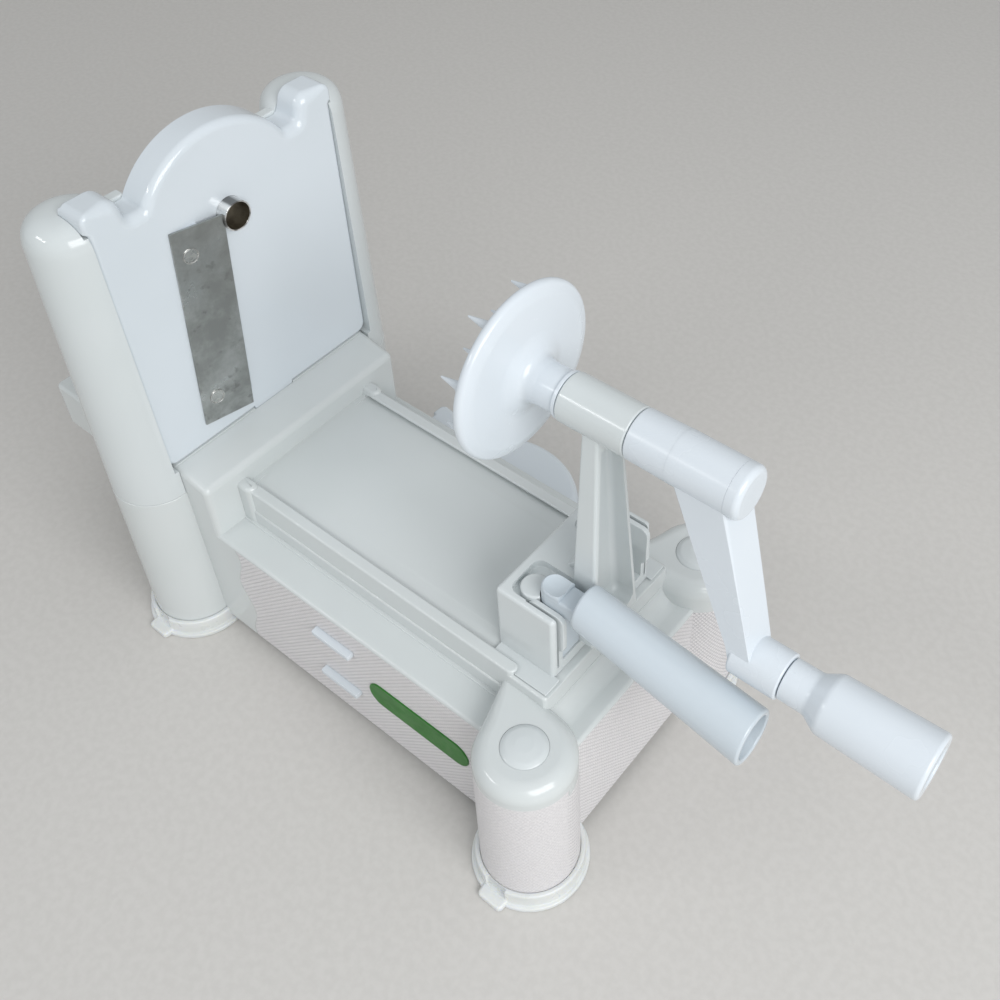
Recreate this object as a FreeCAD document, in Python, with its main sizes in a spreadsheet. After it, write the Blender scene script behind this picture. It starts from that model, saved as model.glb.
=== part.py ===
import FreeCAD, Part
import Sketcher
import math
import os
from FreeCAD import Placement, Rotation, Vector

# Hand cranked vegetable spiralizer.
# X runs from the blade plate (X = 0) towards the crank, Y across, Z up from the table.
# The finished part is moved so that its origin is the middle of its footprint.

doc = FreeCAD.newDocument("spiralizer")

# Driving sizes, in millimetres and degrees
SIZES = {
    # clearances
    "seat_gap": 0.05,
    "running_gap": 0.06,
    "slide_gap": 0.15,
    "loose_gap": 0.3,
    "overrun": 1.0,
    # walls and legs
    "wall": 2.2,
    "leg_radius": 18.0,
    "leg_wall": 2.4,
    "leg_flare": 0.4,
    "leg_side": 50.8,
    "rear_leg_x": -14.9,
    "front_leg_x": 173.5,
    "foot_height": 5.0,
    "head_rise": 11.3,
    "head_round": 9.0,
    "leg_ceiling": 3.2,
    # base
    "side_inset": 0.3,
    "base_overhang": 9.3,
    "ledge_round": 1.4,
    "ledge_z": 65.2,
    "deck_rise": 15.9,
    "rail_rise": 2.1,
    "rail_inner": 30.9,
    "rail_outer": 35.7,
    "rail_setback": 20.5,
    "platform_setback": 3.5,
    "platform_lip": 0.6,
    "platform_lip_rise": 7.0,
    "platform_end_lip": 0.2,
    "cove_reach": 6.5,
    "deck_skin": 3.0,
    "bridge_rise": 3.3,
    "bridge_back": 6.0,
    "bridge_inset": 2.0,
    "block_front_x": 17.1,
    "block_front_rise": 9.7,
    "block_bevel": 1.6,
    "block_foot_drop": 20.2,
    "block_skin": 3.4,
    "plate_seat_rise": 13.8,
    "seat_lip": 0.6,
    "seat_lip_x": 1.0,
    "tray_end_x": -91.5,
    "tray_side": 45.5,
    "tray_drop": 21.4,
    "tray_top_rise": 0.6,
    "tray_round": 2.0,
    "tray_bulkhead": 3.0,
    # tower
    "seam_rise": 0.7,
    "column_inset": 0.3,
    "column_taper": 2.2,
    "column_head_rise": 10.9,
    "column_head_round": 8.0,
    "shoulder_rise": 12.1,
    "bar_depth": 17.0,
    "bar_height": 11.0,
    "guide_inner": 29.5,
    "guide_outer": 42.0,
    "guide_depth": 3.4,
    "guide_rise": 21.0,
    "column_ceiling": 8.0,
    "screw_radius": 1.6,
    "screw_length": 14.0,
    "screw_head_radius": 3.4,
    "screw_head_height": 2.2,
    "screw_boss_radius": 4.4,
    "screw_slot_half": 2.1,
    "screw_slot_thin": 0.4,
    "screw_ring_inset": 5.66,
    "screw_angle": 41.63,
    # blade plates
    "plate_half": 52.2,
    "plate_rim": 13.0,
    "plate_skin": 2.6,
    "plate_round": 1.6,
    "hump_radius": 37.0,
    "spindle_rise": 103.9,
    "hump_drop": 3.0,
    "ear_width": 15.2,
    "ear_overhang": 1.4,
    "ear_rise": 26.6,
    "ear_step_rise": 18.3,
    "ear_chamfer": 1.6,
    "ear_dip": 1.2,
    "tab_width": 19.6,
    "tab_length": 5.4,
    "tab_thickness": 2.4,
    "tube_radius": 5.3,
    "tube_wall": 0.6,
    "tube_reach": 4.9,
    "tube_seat": 6.0,
    "tube_boss_wall": 2.2,
    "blade_width": 21.0,
    "blade_length": 86.0,
    "blade_thickness": 0.9,
    "blade_tilt": 4.8,
    "blade_rise": 8.0,
    "blade_top_rise": 4.6,
    "blade_left_y": -25.6,
    "rivet_radius": 2.5,
    "rivet_inset": 6.4,
    "rivet_end": 11.0,
    "rivet_boss_wall": 1.8,
    "rivet_grip": 3.0,
    "rivet_head_wide": 1.2,
    "rivet_stand": 0.5,
    "blade_bevel": 2.4,
    "blade_seat_inset": 0.4,
    "blade_seat_margin": 2.4,
    "window_margin": 0.6,
    "window_past_edge": 2.4,
    "window_end": 4.0,
    "fine_pitch": 3.2,
    "coarse_pitch": 6.4,
    "comb_offset": 5.0,
    "comb_thickness": 1.2,
    "comb_root": 0.2,
    "comb_back": 2.0,
    "tooth_width": 1.0,
    "tooth_height": 4.2,
    "comb_start": 11.0,
    "comb_end": 3.0,
    # stored plates
    "store_x": 79.1,
    "store_drop": 13.3,
    "store_pitch": 26.1,
    "runner_width": 5.0,
    "runner_height": 2.0,
    "rib_root": 0.5,
    # carriage
    "saddle_front_x": 142.6,
    "saddle_length": 24.4,
    "saddle_half": 27.3,
    "saddle_rise": 30.9,
    "tongue_reach": 34.2,
    "saddle_round": 1.6,
    "saddle_ceiling": 6.2,
    "tongue_root": 0.8,
    "tongue_setback": 1.0,
    "tongue_tail": 2.0,
    "tongue_thickness": 1.0,
    "lip_height": 1.3,
    "recess_front": 3.6,
    "recess_rim": 2.5,
    "recess_inner": 8.6,
    "recess_depth": 3.0,
    "spring_reach": 2.0,
    "spring_drop": 18.4,
    "post_half_top": 6.0,
    "post_half_foot": 12.9,
    "post_back_offset": 19.6,
    "post_mouth_offset": 29.8,
    "post_mouth_top_offset": 25.2,
    "post_bottom_rise": 4.9,
    "post_wall": 1.9,
    "toe_round": 2.0,
    "toe_floor": 7.0,
    "channel_top": 2.5,
    "gusset_front": 9.0,
    "gusset_height": 17.0,
    "gusset_inset": 3.0,
    "gusset_half": 5.0,
    "bearing_radius": 8.25,
    "bearing_offset": 10.9,
    "bearing_length": 24.5,
    "bush_wall": 1.6,
    "bush_length": 7.0,
    "bush_inset": 0.4,
    "shaft_radius": 4.0,
    # side handle
    "handle_side": 17.5,
    "handle_neck_radius": 8.0,
    "handle_radius": 9.7,
    "handle_wall": 2.0,
    "handle_droop": 10.9,
    "handle_offset": 5.2,
    "handle_rise": 4.5,
    "handle_length": 65.8,
    "lug_width": 9.0,
    "lug_offset": 13.0,
    "lug_bottom_rise": 5.9,
    "lug_top_rise": 6.2,
    "slot_width": 1.0,
    "slot_lead": 1.6,
    "slot_below": 2.0,
    "spring_wall": 1.9,
    "lug_setback": 0.4,
    "lug_bar_drop": 4.0,
    "lug_head_drop": 1.6,
    "lug_rim_length": 5.0,
    "lug_overlap": 6.0,
    "lug_web_inset": 0.5,
    "lug_web_rise": 3.0,
    "lug_dimple_radius": 9.0,
    "lug_dimple_lift": 7.6,
    "lug_dimple_shift": 1.2,
    "handle_plug": 12.0,
    "handle_round": 1.0,
    "press_boss_radius": 5.1,
    "press_boss_height": 0.6,
    "press_boss_lead": 2.7,
    "press_boss_side": 18.6,
    # disc and crank
    "disc_offset": 20.2,
    "disc_radius": 30.2,
    "disc_thickness": 4.4,
    "disc_round": 2.4,
    "disc_dome": 0.8,
    "disc_flare": 2.9,
    "disc_hub_radius": 7.0,
    "spike_count": 16,
    "spike_phase": 24.5,
    "spike_length": 9.0,
    "spike_radius": 1.9,
    "spike_tip": 0.25,
    "spike_ring": 25.2,
    "spike_inner_ring": 18.5,
    "collar_length": 14.5,
    "collar_radius": 8.3,
    "hub_radius": 8.6,
    "hub_length": 23.8,
    "cap_length": 4.5,
    "cap_round": 2.4,
    "screw_seat": 5.0,
    "crank_radius": 61.8,
    "crank_rest": -4.6,
    "arm_half": 7.5,
    "arm_foot_half": 6.3,
    "arm_setback": 0.5,
    "arm_foot": 6.6,
    "arm_bend_x": 1.5,
    "arm_bend_z": 5.5,
    "boss_radius": 7.8,
    "boss_offset": 28.9,
    "boss_length": 17.2,
    "grip_neck_radius": 6.85,
    "grip_neck_length": 7.8,
    "grip_radius": 10.0,
    "grip_end_radius": 10.65,
    "grip_length": 47.0,
    "shoulder": 11.0,
    "shoulder_round": 0.65,
    "grip_edge": 1.0,
    "grip_socket": 9.0,
    "grip_socket_room": 1.4,
    "pin_radius": 3.0,
    "pin_head_radius": 5.0,
    "pin_head_height": 2.4,
    # suction cups
    "cup_brim": 1.55,
    "cup_flange": 2.0,
    "cup_collar": 1.9,
    "cup_collar_z": 8.6,
    "cup_plug_z": 11.0,
    "cup_hollow": 3.0,
    "cup_slope": 6.0,
    "cup_land": 1.6,
    "cup_plug_wall": 2.0,
    "pull_tab": 2.3,
    "pull_tab_root": 3.0,
    "pull_tab_half": 6.0,
    "pull_tab_lift": 0.2,
    "pull_tab_top": 2.6,
    # small trim
    "plug_radius": 8.3,
    "plug_depth": 5.0,
    "plug_rise": 1.6,
    "badge_x": 120.5,
    "badge_z": 35.0,
    "badge_length": 50.0,
    "badge_height": 13.0,
    "badge_depth": 0.6,
}

sheet = doc.addObject("Spreadsheet::Sheet", "sizes")


class Size:
    """A length or angle that knows its number and the sheet formula it comes from."""

    def __init__(self, value, text):
        self.value = float(value)
        self.text = text

    def join(self, other, sign, value):
        return Size(value, "(%s %s %s)" % (self.text, sign, other.text))

    def __add__(self, other):
        other = as_size(other)
        return self.join(other, "+", self.value + other.value)

    def __sub__(self, other):
        other = as_size(other)
        return self.join(other, "-", self.value - other.value)

    def __mul__(self, other):
        other = as_size(other)
        return self.join(other, "*", self.value * other.value)

    def __truediv__(self, other):
        other = as_size(other)
        return self.join(other, "/", self.value / other.value)

    def __radd__(self, other):
        return as_size(other) + self

    def __rsub__(self, other):
        return as_size(other) - self

    def __rmul__(self, other):
        return as_size(other) * self

    def __neg__(self):
        return as_size(0) - self

    def __float__(self):
        return self.value


def as_size(thing):
    return thing if isinstance(thing, Size) else Size(thing, repr(float(thing)))


def cosine(angle):
    return Size(math.cos(math.radians(angle.value)), "cos(%s * 1 deg)" % angle.text)


def sine(angle):
    return Size(math.sin(math.radians(angle.value)), "sin(%s * 1 deg)" % angle.text)


class Sizes:
    """Writes the driving sizes to the sheet and hands each one out by its name."""

    def __init__(self, table):
        for row, (name, value) in enumerate(table.items(), 1):
            sheet.set("A%d" % row, name)
            sheet.set("B%d" % row, str(value))
            sheet.setAlias("B%d" % row, name)
            setattr(self, name, Size(value, "sizes." + name))


s = Sizes(SIZES)
doc.recompute()

# Places and radii that follow from the sizes
s.leg_foot_radius = s.leg_radius + s.leg_flare
s.cup_collar_radius = s.leg_foot_radius + s.seat_gap + s.cup_collar
s.cup_radius = s.cup_collar_radius + s.cup_brim
s.column_low_radius = s.leg_radius - s.column_inset
s.column_high_radius = s.column_low_radius - s.column_taper
s.screw_ring = s.column_low_radius - s.screw_ring_inset
s.screw_back = s.screw_ring * cosine(s.screw_angle)
s.screw_out = s.screw_ring * sine(s.screw_angle)
s.base_side = s.leg_side - s.side_inset
s.base_end_x = s.front_leg_x + s.base_overhang
s.platform_end_x = s.front_leg_x - s.platform_setback
s.rail_end_x = s.front_leg_x - s.rail_setback
s.head_top = s.ledge_z + s.head_rise
s.platform_lip_z = s.ledge_z + s.platform_lip_rise
s.bridge_z = s.ledge_z + s.bridge_rise
s.upper_store_z = s.ledge_z - s.store_drop
s.deck_z = s.ledge_z + s.deck_rise
s.rail_z = s.deck_z + s.rail_rise
s.seam_z = s.deck_z + s.seam_rise
s.block_front_z = s.deck_z + s.block_front_rise
s.plate_seat_z = s.deck_z + s.plate_seat_rise
s.tray_bottom = s.deck_z - s.tray_drop
s.tray_top = s.deck_z + s.tray_top_rise
s.block_foot_z = s.ledge_z - s.block_foot_drop
s.spindle_z = s.deck_z + s.spindle_rise
s.column_shoulder_z = s.spindle_z + s.shoulder_rise
s.guide_top = s.spindle_z + s.guide_rise
s.ear_top = s.spindle_z + s.ear_rise
s.ear_step = s.spindle_z + s.ear_step_rise
s.blade_top_z = s.spindle_z + s.blade_top_rise
s.ear_outer = s.plate_half + s.ear_overhang
s.ear_inner = s.ear_outer - s.ear_width
s.saddle_back_x = s.saddle_front_x + s.saddle_length
s.saddle_z = s.deck_z + s.saddle_rise
s.post_bottom_z = s.deck_z + s.post_bottom_rise
s.post_back_x = s.saddle_front_x + s.post_back_offset
s.post_mouth_x = s.saddle_front_x + s.post_mouth_offset
s.post_mouth_top_x = s.saddle_front_x + s.post_mouth_top_offset
s.bearing_front_x = s.saddle_front_x + s.bearing_offset
s.bearing_back_x = s.bearing_front_x + s.bearing_length
s.handle_start_x = s.saddle_back_x + s.handle_offset
s.handle_start_z = s.saddle_z + s.handle_rise
s.lug_front_x = s.saddle_front_x + s.lug_offset
s.lug_bottom_z = s.deck_z + s.lug_bottom_rise
s.lug_top_z = s.saddle_z + s.lug_top_rise
s.disc_x = s.bearing_front_x - s.disc_offset
s.collar_end_x = s.bearing_back_x + s.collar_length
s.cap_end_x = s.collar_end_x + s.hub_length
s.boss_start_x = s.collar_end_x + s.boss_offset
s.grip_start_x = s.boss_start_x + s.boss_length
s.grip_neck_end_x = s.grip_start_x + s.grip_neck_length
s.grip_end_x = s.grip_start_x + s.grip_length


def bind(thing, **properties):
    """Ties properties of a document object to sheet formulas."""
    for name, value in properties.items():
        thing.setExpression(name, as_size(value).text)
    return thing


def place(thing, x=0, y=0, z=0, turn=None):
    """Binds the position of an object and sets its fixed turn."""
    if turn is not None:
        thing.Placement = Placement(Vector(0, 0, 0), turn)
    for axis, value in (("x", x), ("y", y), ("z", z)):
        thing.setExpression(".Placement.Base." + axis, as_size(value).text)
    return thing


ALONG_X = Rotation(Vector(0, 1, 0), 90)
ALONG_Y = Rotation(Vector(1, 0, 0), -90)
UPRIGHT = Rotation()


def block(name, x, y, z):
    """A box between two limits on each axis."""
    box = doc.addObject("Part::Box", name)
    (x0, x1), (y0, y1), (z0, z1) = x, y, z
    bind(box, Length=as_size(x1) - x0, Width=as_size(y1) - y0, Height=as_size(z1) - z0)
    return place(box, x0, y0, z0)


def rod(name, radius, length, x=0, y=0, z=0, turn=UPRIGHT):
    """A cylinder that starts at a point and runs along its turned axis."""
    cylinder = doc.addObject("Part::Cylinder", name)
    bind(cylinder, Radius=radius, Height=length)
    return place(cylinder, x, y, z, turn)


def taper(name, radius, end_radius, length, x=0, y=0, z=0, turn=UPRIGHT):
    cone = doc.addObject("Part::Cone", name)
    bind(cone, Radius1=radius, Radius2=end_radius, Height=length)
    return place(cone, x, y, z, turn)


def ball(name, radius, x=0, y=0, z=0):
    sphere = doc.addObject("Part::Sphere", name)
    bind(sphere, Radius=radius)
    return place(sphere, x, y, z)


def fuse(name, *parts):
    union = doc.addObject("Part::MultiFuse", name)
    union.Shapes = list(parts)
    union.Refine = True
    return union


def common(name, *parts):
    shared = doc.addObject("Part::MultiCommon", name)
    shared.Shapes = list(parts)
    return shared


def cut(name, base, *tools):
    """Takes the tools away from the base."""
    tool = tools[0] if len(tools) == 1 else fuse(name + "_tools", *tools)
    rest = doc.addObject("Part::Cut", name)
    rest.Base = base
    rest.Tool = tool
    rest.Refine = True
    return rest


def prism(name, plane, points, length, offset=0):
    """A symmetric pad of a straight sided outline."""
    body = new_body(name)
    sketch = new_sketch(body, name + "_outline", plane, offset)
    outline(sketch, points)
    pad(body, name + "_pad", sketch, length, symmetric=True)
    return body


def round_edges(name, base, radius, chosen, kind="Part::Fillet"):
    """Fillets or chamfers the edges of the base that the test picks."""
    doc.recompute()
    picked = [i for i, edge in enumerate(base.Shape.Edges, 1) if chosen(edge)]
    if not picked:
        raise ValueError("no edge found for " + name)
    fillet = doc.addObject(kind, name)
    fillet.Base = base
    size = float(radius)
    fillet.Edges = [(i, size, size) for i in picked]
    doc.recompute()
    return fillet


def spans(edge, x=None, y=None, z=None, near=0.2):
    """True where every end and the middle of an edge lie on the planes that are given."""
    first, last = edge.ParameterRange
    points = [edge.valueAt(t) for t in (first, (first + last) / 2, last)]
    for axis, value in (("x", x), ("y", y), ("z", z)):
        if value is None:
            continue
        if any(abs(getattr(point, axis) - float(value)) > near for point in points):
            return False
    return True


def middle(edge):
    first, last = edge.ParameterRange
    return edge.valueAt((first + last) / 2)


def new_body(name):
    return doc.addObject("PartDesign::Body", name)


def new_sketch(body, name, plane, offset=0):
    """A sketch on one of the body's own origin planes, raised by an offset."""
    sketch = body.newObject("Sketcher::SketchObject", name)
    support = [f for f in body.Origin.OriginFeatures if f.Role == plane][0]
    sketch.AttachmentSupport = [(support, "")]
    sketch.MapMode = "FlatFace"
    sketch.setExpression(".AttachmentOffset.Base.z", as_size(offset).text)
    return sketch


def pin_point(sketch, index, end, x, y):
    """Holds one end of a line at sheet bound distances from the sketch origin."""
    for kind, value in (("DistanceX", x), ("DistanceY", y)):
        value = as_size(value)
        number = sketch.addConstraint(
            Sketcher.Constraint(kind, -1, 1, index, end, value.value))
        sketch.setExpression("Constraints[%d]" % number, value.text)


def outline(sketch, points):
    """A closed outline of straight lines through sheet bound points."""
    corners = [Vector(float(as_size(x)), float(as_size(y)), 0) for x, y in points]
    count = len(corners)
    for i in range(count):
        sketch.addGeometry(Part.LineSegment(corners[i], corners[(i + 1) % count]), False)
    for i in range(count):
        sketch.addConstraint(Sketcher.Constraint("Coincident", i, 2, (i + 1) % count, 1))
        pin_point(sketch, i, 1, *points[i])
    return sketch


def pad(body, name, sketch, length, symmetric=False, backwards=False):
    feature = body.newObject("PartDesign::Pad", name)
    feature.Profile = sketch
    feature.setExpression("Length", as_size(length).text)
    feature.Midplane = symmetric
    feature.Reversed = backwards
    doc.recompute()
    return feature


def turned(body, name, sketch, axis="H_Axis"):
    """A solid of revolution about an axis of its sketch."""
    feature = body.newObject("PartDesign::Revolution", name)
    feature.Profile = sketch
    feature.ReferenceAxis = (sketch, [axis])
    feature.Angle = 360.0
    doc.recompute()
    return feature


PARTS = []


def finish_part(thing, label):
    """Names a finished sub-part, which also names its file."""
    thing.Label = label
    PARTS.append(thing)
    return thing


# Suction cups

LEGS = {
    "near_front": (s.front_leg_x, -s.leg_side, -1),
    "far_front": (s.front_leg_x, s.leg_side, 1),
    "near_rear": (s.rear_leg_x, -s.leg_side, -1),
    "far_rear": (s.rear_leg_x, s.leg_side, 1),
}


def suction_cup(corner):
    """A soft cup: flange on the table, a collar round the foot and a plug inside it."""
    x, y, side = LEGS[corner]
    name = corner + "_cup"
    foot = s.leg_foot_radius
    collar = s.cup_collar_radius
    plug = s.leg_radius - s.leg_wall - s.seat_gap
    body = new_body(name + "_body")
    profile = new_sketch(body, name + "_profile", "XZ_Plane")
    outline(profile, [
        (0, s.cup_hollow),
        (s.cup_radius - s.cup_slope, s.cup_hollow / 2),
        (s.cup_radius - s.cup_land, 0),
        (s.cup_radius, 0),
        (s.cup_radius, s.cup_flange),
        (collar, s.cup_flange),
        (collar, s.cup_collar_z),
        (foot + s.seat_gap, s.cup_collar_z),
        (foot + s.seat_gap, s.foot_height - s.seat_gap),
        (plug, s.foot_height - s.seat_gap),
        (plug, s.cup_plug_z),
        (plug - s.cup_plug_wall, s.cup_plug_z),
        (plug - s.cup_plug_wall, s.foot_height),
        (0, s.foot_height),
    ])
    turned(body, name + "_turned", profile, "V_Axis")
    tab = block(name + "_tab", (-s.cup_radius - s.pull_tab, -s.cup_radius + s.pull_tab_root),
                (-s.pull_tab_half, s.pull_tab_half), (s.pull_tab_lift, s.pull_tab_top))
    whole = fuse(name, body, tab)
    whole.Placement = Placement(Vector(float(x), float(y), 0),
                                Rotation(Vector(0, 0, 1), 90.0 if side < 0 else -90.0))
    place(whole, x, y, 0)
    return finish_part(whole, name)


for corner in LEGS:
    suction_cup(corner)


# Base shell


def leg_tube(corner):
    """One hollow leg, open below for the plug of its cup."""
    x, y, side = LEGS[corner]
    front = corner.endswith("front")
    top = s.head_top if front else s.seam_z
    tube = taper(corner + "_leg", s.leg_foot_radius, s.leg_radius - s.leg_flare / 2,
                 top - s.foot_height, x, y, s.foot_height)
    if front:
        tube = round_edges(corner + "_head", tube, s.head_round,
                           lambda edge: spans(edge, z=top))
    return tube


def leg_bore(corner):
    x, y, side = LEGS[corner]
    top = s.head_top if corner.endswith("front") else s.seam_z
    ceiling = s.head_round if corner.endswith("front") else s.leg_ceiling
    return rod(corner + "_bore", s.leg_radius - s.leg_wall,
               top - ceiling - s.foot_height + s.overrun, x, y, s.foot_height - s.overrun)


def base_shell():
    wall = s.wall
    inner_side = s.base_side - wall
    box = block("base_box", (s.rear_leg_x, s.base_end_x), (-s.base_side, s.base_side),
                (s.foot_height, s.ledge_z))
    box = round_edges("base_box_round", box, s.ledge_round, lambda edge: spans(edge, z=s.ledge_z))
    middle_block = block("base_middle", (s.rear_leg_x, s.platform_end_x),
                         (-s.rail_outer, s.rail_outer), (s.foot_height, s.deck_z))
    lip = block("base_middle_lip", (s.block_front_x, s.platform_end_x + s.platform_end_lip),
                (-s.rail_outer - s.platform_lip, s.rail_outer + s.platform_lip),
                (s.foot_height, s.platform_lip_z))
    rise, reach = s.platform_lip_rise, s.cove_reach
    cove = prism("base_front_cove", "XZ_Plane", [
        (s.platform_end_x - s.overrun, s.ledge_z - s.overrun),
        (s.platform_end_x + reach, s.ledge_z - s.overrun),
        (s.platform_end_x + reach, s.ledge_z),
        (s.platform_end_x + reach * 0.52, s.ledge_z + rise * 0.14),
        (s.platform_end_x + reach * 0.25, s.ledge_z + rise * 0.4),
        (s.platform_end_x + reach * 0.09, s.ledge_z + rise * 0.7),
        (s.platform_end_x + reach * 0.03, s.ledge_z + rise),
        (s.platform_end_x - s.overrun, s.ledge_z + rise),
    ], s.rail_outer * 2)
    rails = []
    for side, word in ((-1, "near"), (1, "far")):
        rail = block(word + "_rail", (0, s.rail_end_x),
                     ordered(s.rail_inner * side, s.rail_outer * side),
                     (s.deck_z - s.overrun, s.rail_z))
        end = rod(word + "_rail_end", s.rail_outer - s.rail_inner, s.rail_z - s.ledge_z,
                  s.rail_end_x, s.rail_inner * side, s.ledge_z)
        bridge = block(word + "_head_bridge", (s.rail_end_x - s.bridge_back, s.front_leg_x),
                       ordered((s.rail_inner + s.bridge_inset) * side, s.leg_side * side),
                       (s.ledge_z - s.overrun, s.bridge_z))
        rails += [rail, end, bridge]
    cross = new_body("cross_block_body")
    side_view = new_sketch(cross, "cross_block_view", "XZ_Plane")
    outline(side_view, [
        (-s.plate_rim - s.slide_gap, s.block_foot_z),
        (s.block_front_x, s.block_foot_z),
        (s.block_front_x, s.block_front_z - s.block_bevel),
        (s.block_front_x - s.block_bevel, s.block_front_z),
        (s.seat_lip_x, s.plate_seat_z - s.seat_lip),
        (0, s.plate_seat_z - s.seat_lip),
        (0, s.plate_seat_z - s.slide_gap),
        (-s.plate_rim - s.slide_gap, s.plate_seat_z - s.slide_gap),
    ])
    pad(cross, "cross_block_pad", side_view, s.base_side * 2, symmetric=True)
    tray = block("tray_box", (s.tray_end_x, s.rear_leg_x), (-s.tray_side, s.tray_side),
                 (s.tray_bottom, s.tray_top))
    tray = round_edges("tray_corner", tray, s.tray_round,
                       lambda edge: spans(edge, x=s.tray_end_x) and abs(middle(edge).y) > 40)
    outer = fuse("base_outer", box, middle_block, lip, cove, cross, tray, *rails)

    # hollows, open to the table
    low = s.foot_height - s.overrun
    room = block("base_room", (s.rear_leg_x + wall, s.base_end_x - wall),
                 (-inner_side, inner_side), (low, s.ledge_z - wall))
    upper = block("base_upper_room", (s.rear_leg_x + wall, s.platform_end_x - wall),
                  (-s.rail_outer + wall, s.rail_outer - wall), (low, s.deck_z - s.deck_skin))
    block_room = block("cross_block_room", (-s.plate_rim + wall, s.block_front_x - wall),
                       (-inner_side, inner_side), (low, s.block_front_z - s.block_skin))
    tray_room = block("tray_room", (s.tray_end_x + wall, s.rear_leg_x - s.tray_bulkhead),
                      (-s.tray_side + wall, s.tray_side - wall),
                      (s.tray_bottom - s.overrun, s.tray_top - wall))
    tab_slot = block("tab_slot", (-s.tab_thickness - s.slide_gap, s.slide_gap),
                     (-s.tab_width / 2 - s.loose_gap, s.tab_width / 2 + s.loose_gap),
                     (s.plate_seat_z - s.tab_length - s.loose_gap, s.plate_seat_z + s.overrun))
    shell = cut("base_hollow", outer, room, upper, block_room, tray_room, tab_slot)

    # legs and the two partitions whose runners carry the stored plates
    legs = [leg_tube(corner) for corner in LEGS]
    ribs = []
    for side, word in ((-1, "rear"), (1, "front")):
        face = s.store_x + side * (s.plate_half + s.slide_gap * 2)
        ribs.append(block(word + "_partition", ordered(face, face + side * wall),
                          (-inner_side - s.rib_root, inner_side + s.rib_root),
                          (s.foot_height + s.rib_root, s.ledge_z - wall + s.rib_root)))
        for level, height in (("upper", s.upper_store_z), ("lower", s.upper_store_z - s.store_pitch)):
            top = height - s.plate_rim - s.seat_gap
            ribs.append(block(word + "_" + level + "_runner",
                              ordered(face + side * s.rib_root, face - side * s.runner_width),
                              (-inner_side - s.rib_root, inner_side + s.rib_root),
                              (top - s.runner_height, top)))
    solid = fuse("base_legs", shell, *(legs + ribs))

    # leg bores, far side plate slots, near side tab windows, rail grooves and screw holes
    tools = [leg_bore(corner) for corner in LEGS]
    half = s.plate_half + s.loose_gap
    for level, height in (("upper", s.upper_store_z), ("lower", s.upper_store_z - s.store_pitch)):
        tools.append(block(level + "_plate_slot", (s.store_x - half, s.store_x + half),
                           (inner_side - s.overrun, s.base_side + s.overrun),
                           (height - s.plate_rim - s.loose_gap,
                            height + s.tube_reach + s.loose_gap * 3)))
        tools.append(block(level + "_tab_window",
                           (s.store_x - s.tab_width / 2 - s.loose_gap,
                            s.store_x + s.tab_width / 2 + s.loose_gap),
                           (-s.base_side - s.overrun, -inner_side + s.overrun),
                           (height - s.tab_thickness - s.loose_gap, height + s.loose_gap)))
    for side, word in ((-1, "near"), (1, "far")):
        lip_under = s.rail_z - s.lip_height
        tools.append(block(word + "_groove", (s.block_front_x + s.wall, s.platform_end_x + s.platform_end_lip + s.overrun),
                           ordered(side * (s.saddle_half - s.tongue_root - s.slide_gap),
                                   side * (s.tongue_reach + s.slide_gap)),
                           (lip_under - s.tongue_thickness - s.slide_gap * 2, lip_under)))
        tools.append(rod(word + "_tower_screw_hole", s.screw_radius + s.seat_gap,
                         s.leg_ceiling + s.overrun * 2, s.rear_leg_x - s.screw_back,
                         side * (s.leg_side + s.screw_out), s.seam_z - s.leg_ceiling - s.overrun))
        tools.append(rod(word + "_plug_recess", s.plug_radius + s.seat_gap,
                         s.plug_depth + s.overrun, s.front_leg_x, side * s.leg_side,
                         s.head_top - s.plug_depth))
    tools.append(block("deck_clear", (s.block_front_x, s.base_end_x),
                       (-s.rail_inner, s.rail_inner), (s.deck_z, s.plate_seat_z)))
    for corner, (x, y, side) in LEGS.items():
        collar = s.cup_collar_radius + s.loose_gap
        ring = rod(corner + "_collar_room", collar, s.cup_collar_z + s.loose_gap, x, y, 0)
        core = rod(corner + "_collar_core", s.leg_foot_radius,
                   s.cup_collar_z + s.overrun * 2, x, y, -s.overrun)
        tools.append(cut(corner + "_collar_ring", ring, core))
    return finish_part(cut("base_shell_solid", solid, *tools), "base_shell")


def ordered(first, second):
    """Two limits with the smaller first."""
    first, second = as_size(first), as_size(second)
    return (first, second) if first.value < second.value else (second, first)


base_shell()


def leg_plug(side, word):
    """A low domed plug in the head of a front leg."""
    name = word + "_leg_plug"
    body = new_body(name + "_body")
    profile = new_sketch(body, name + "_profile", "XZ_Plane")
    top = s.head_top + s.plug_rise
    outline(profile, [
        (0, s.head_top - s.plug_depth + s.seat_gap),
        (s.plug_radius, s.head_top - s.plug_depth + s.seat_gap),
        (s.plug_radius, s.head_top - s.plug_rise / 4),
        (s.plug_radius * 0.92, s.head_top + s.plug_rise * 0.35),
        (s.plug_radius * 0.7, s.head_top + s.plug_rise * 0.75),
        (s.plug_radius * 0.36, top - s.plug_rise * 0.06),
        (0, top),
    ])
    turned(body, name + "_turned", profile, "V_Axis")
    place(body, s.front_leg_x, side * s.leg_side, 0)
    return finish_part(body, name)


leg_plug(-1, "near")
leg_plug(1, "far")


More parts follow.
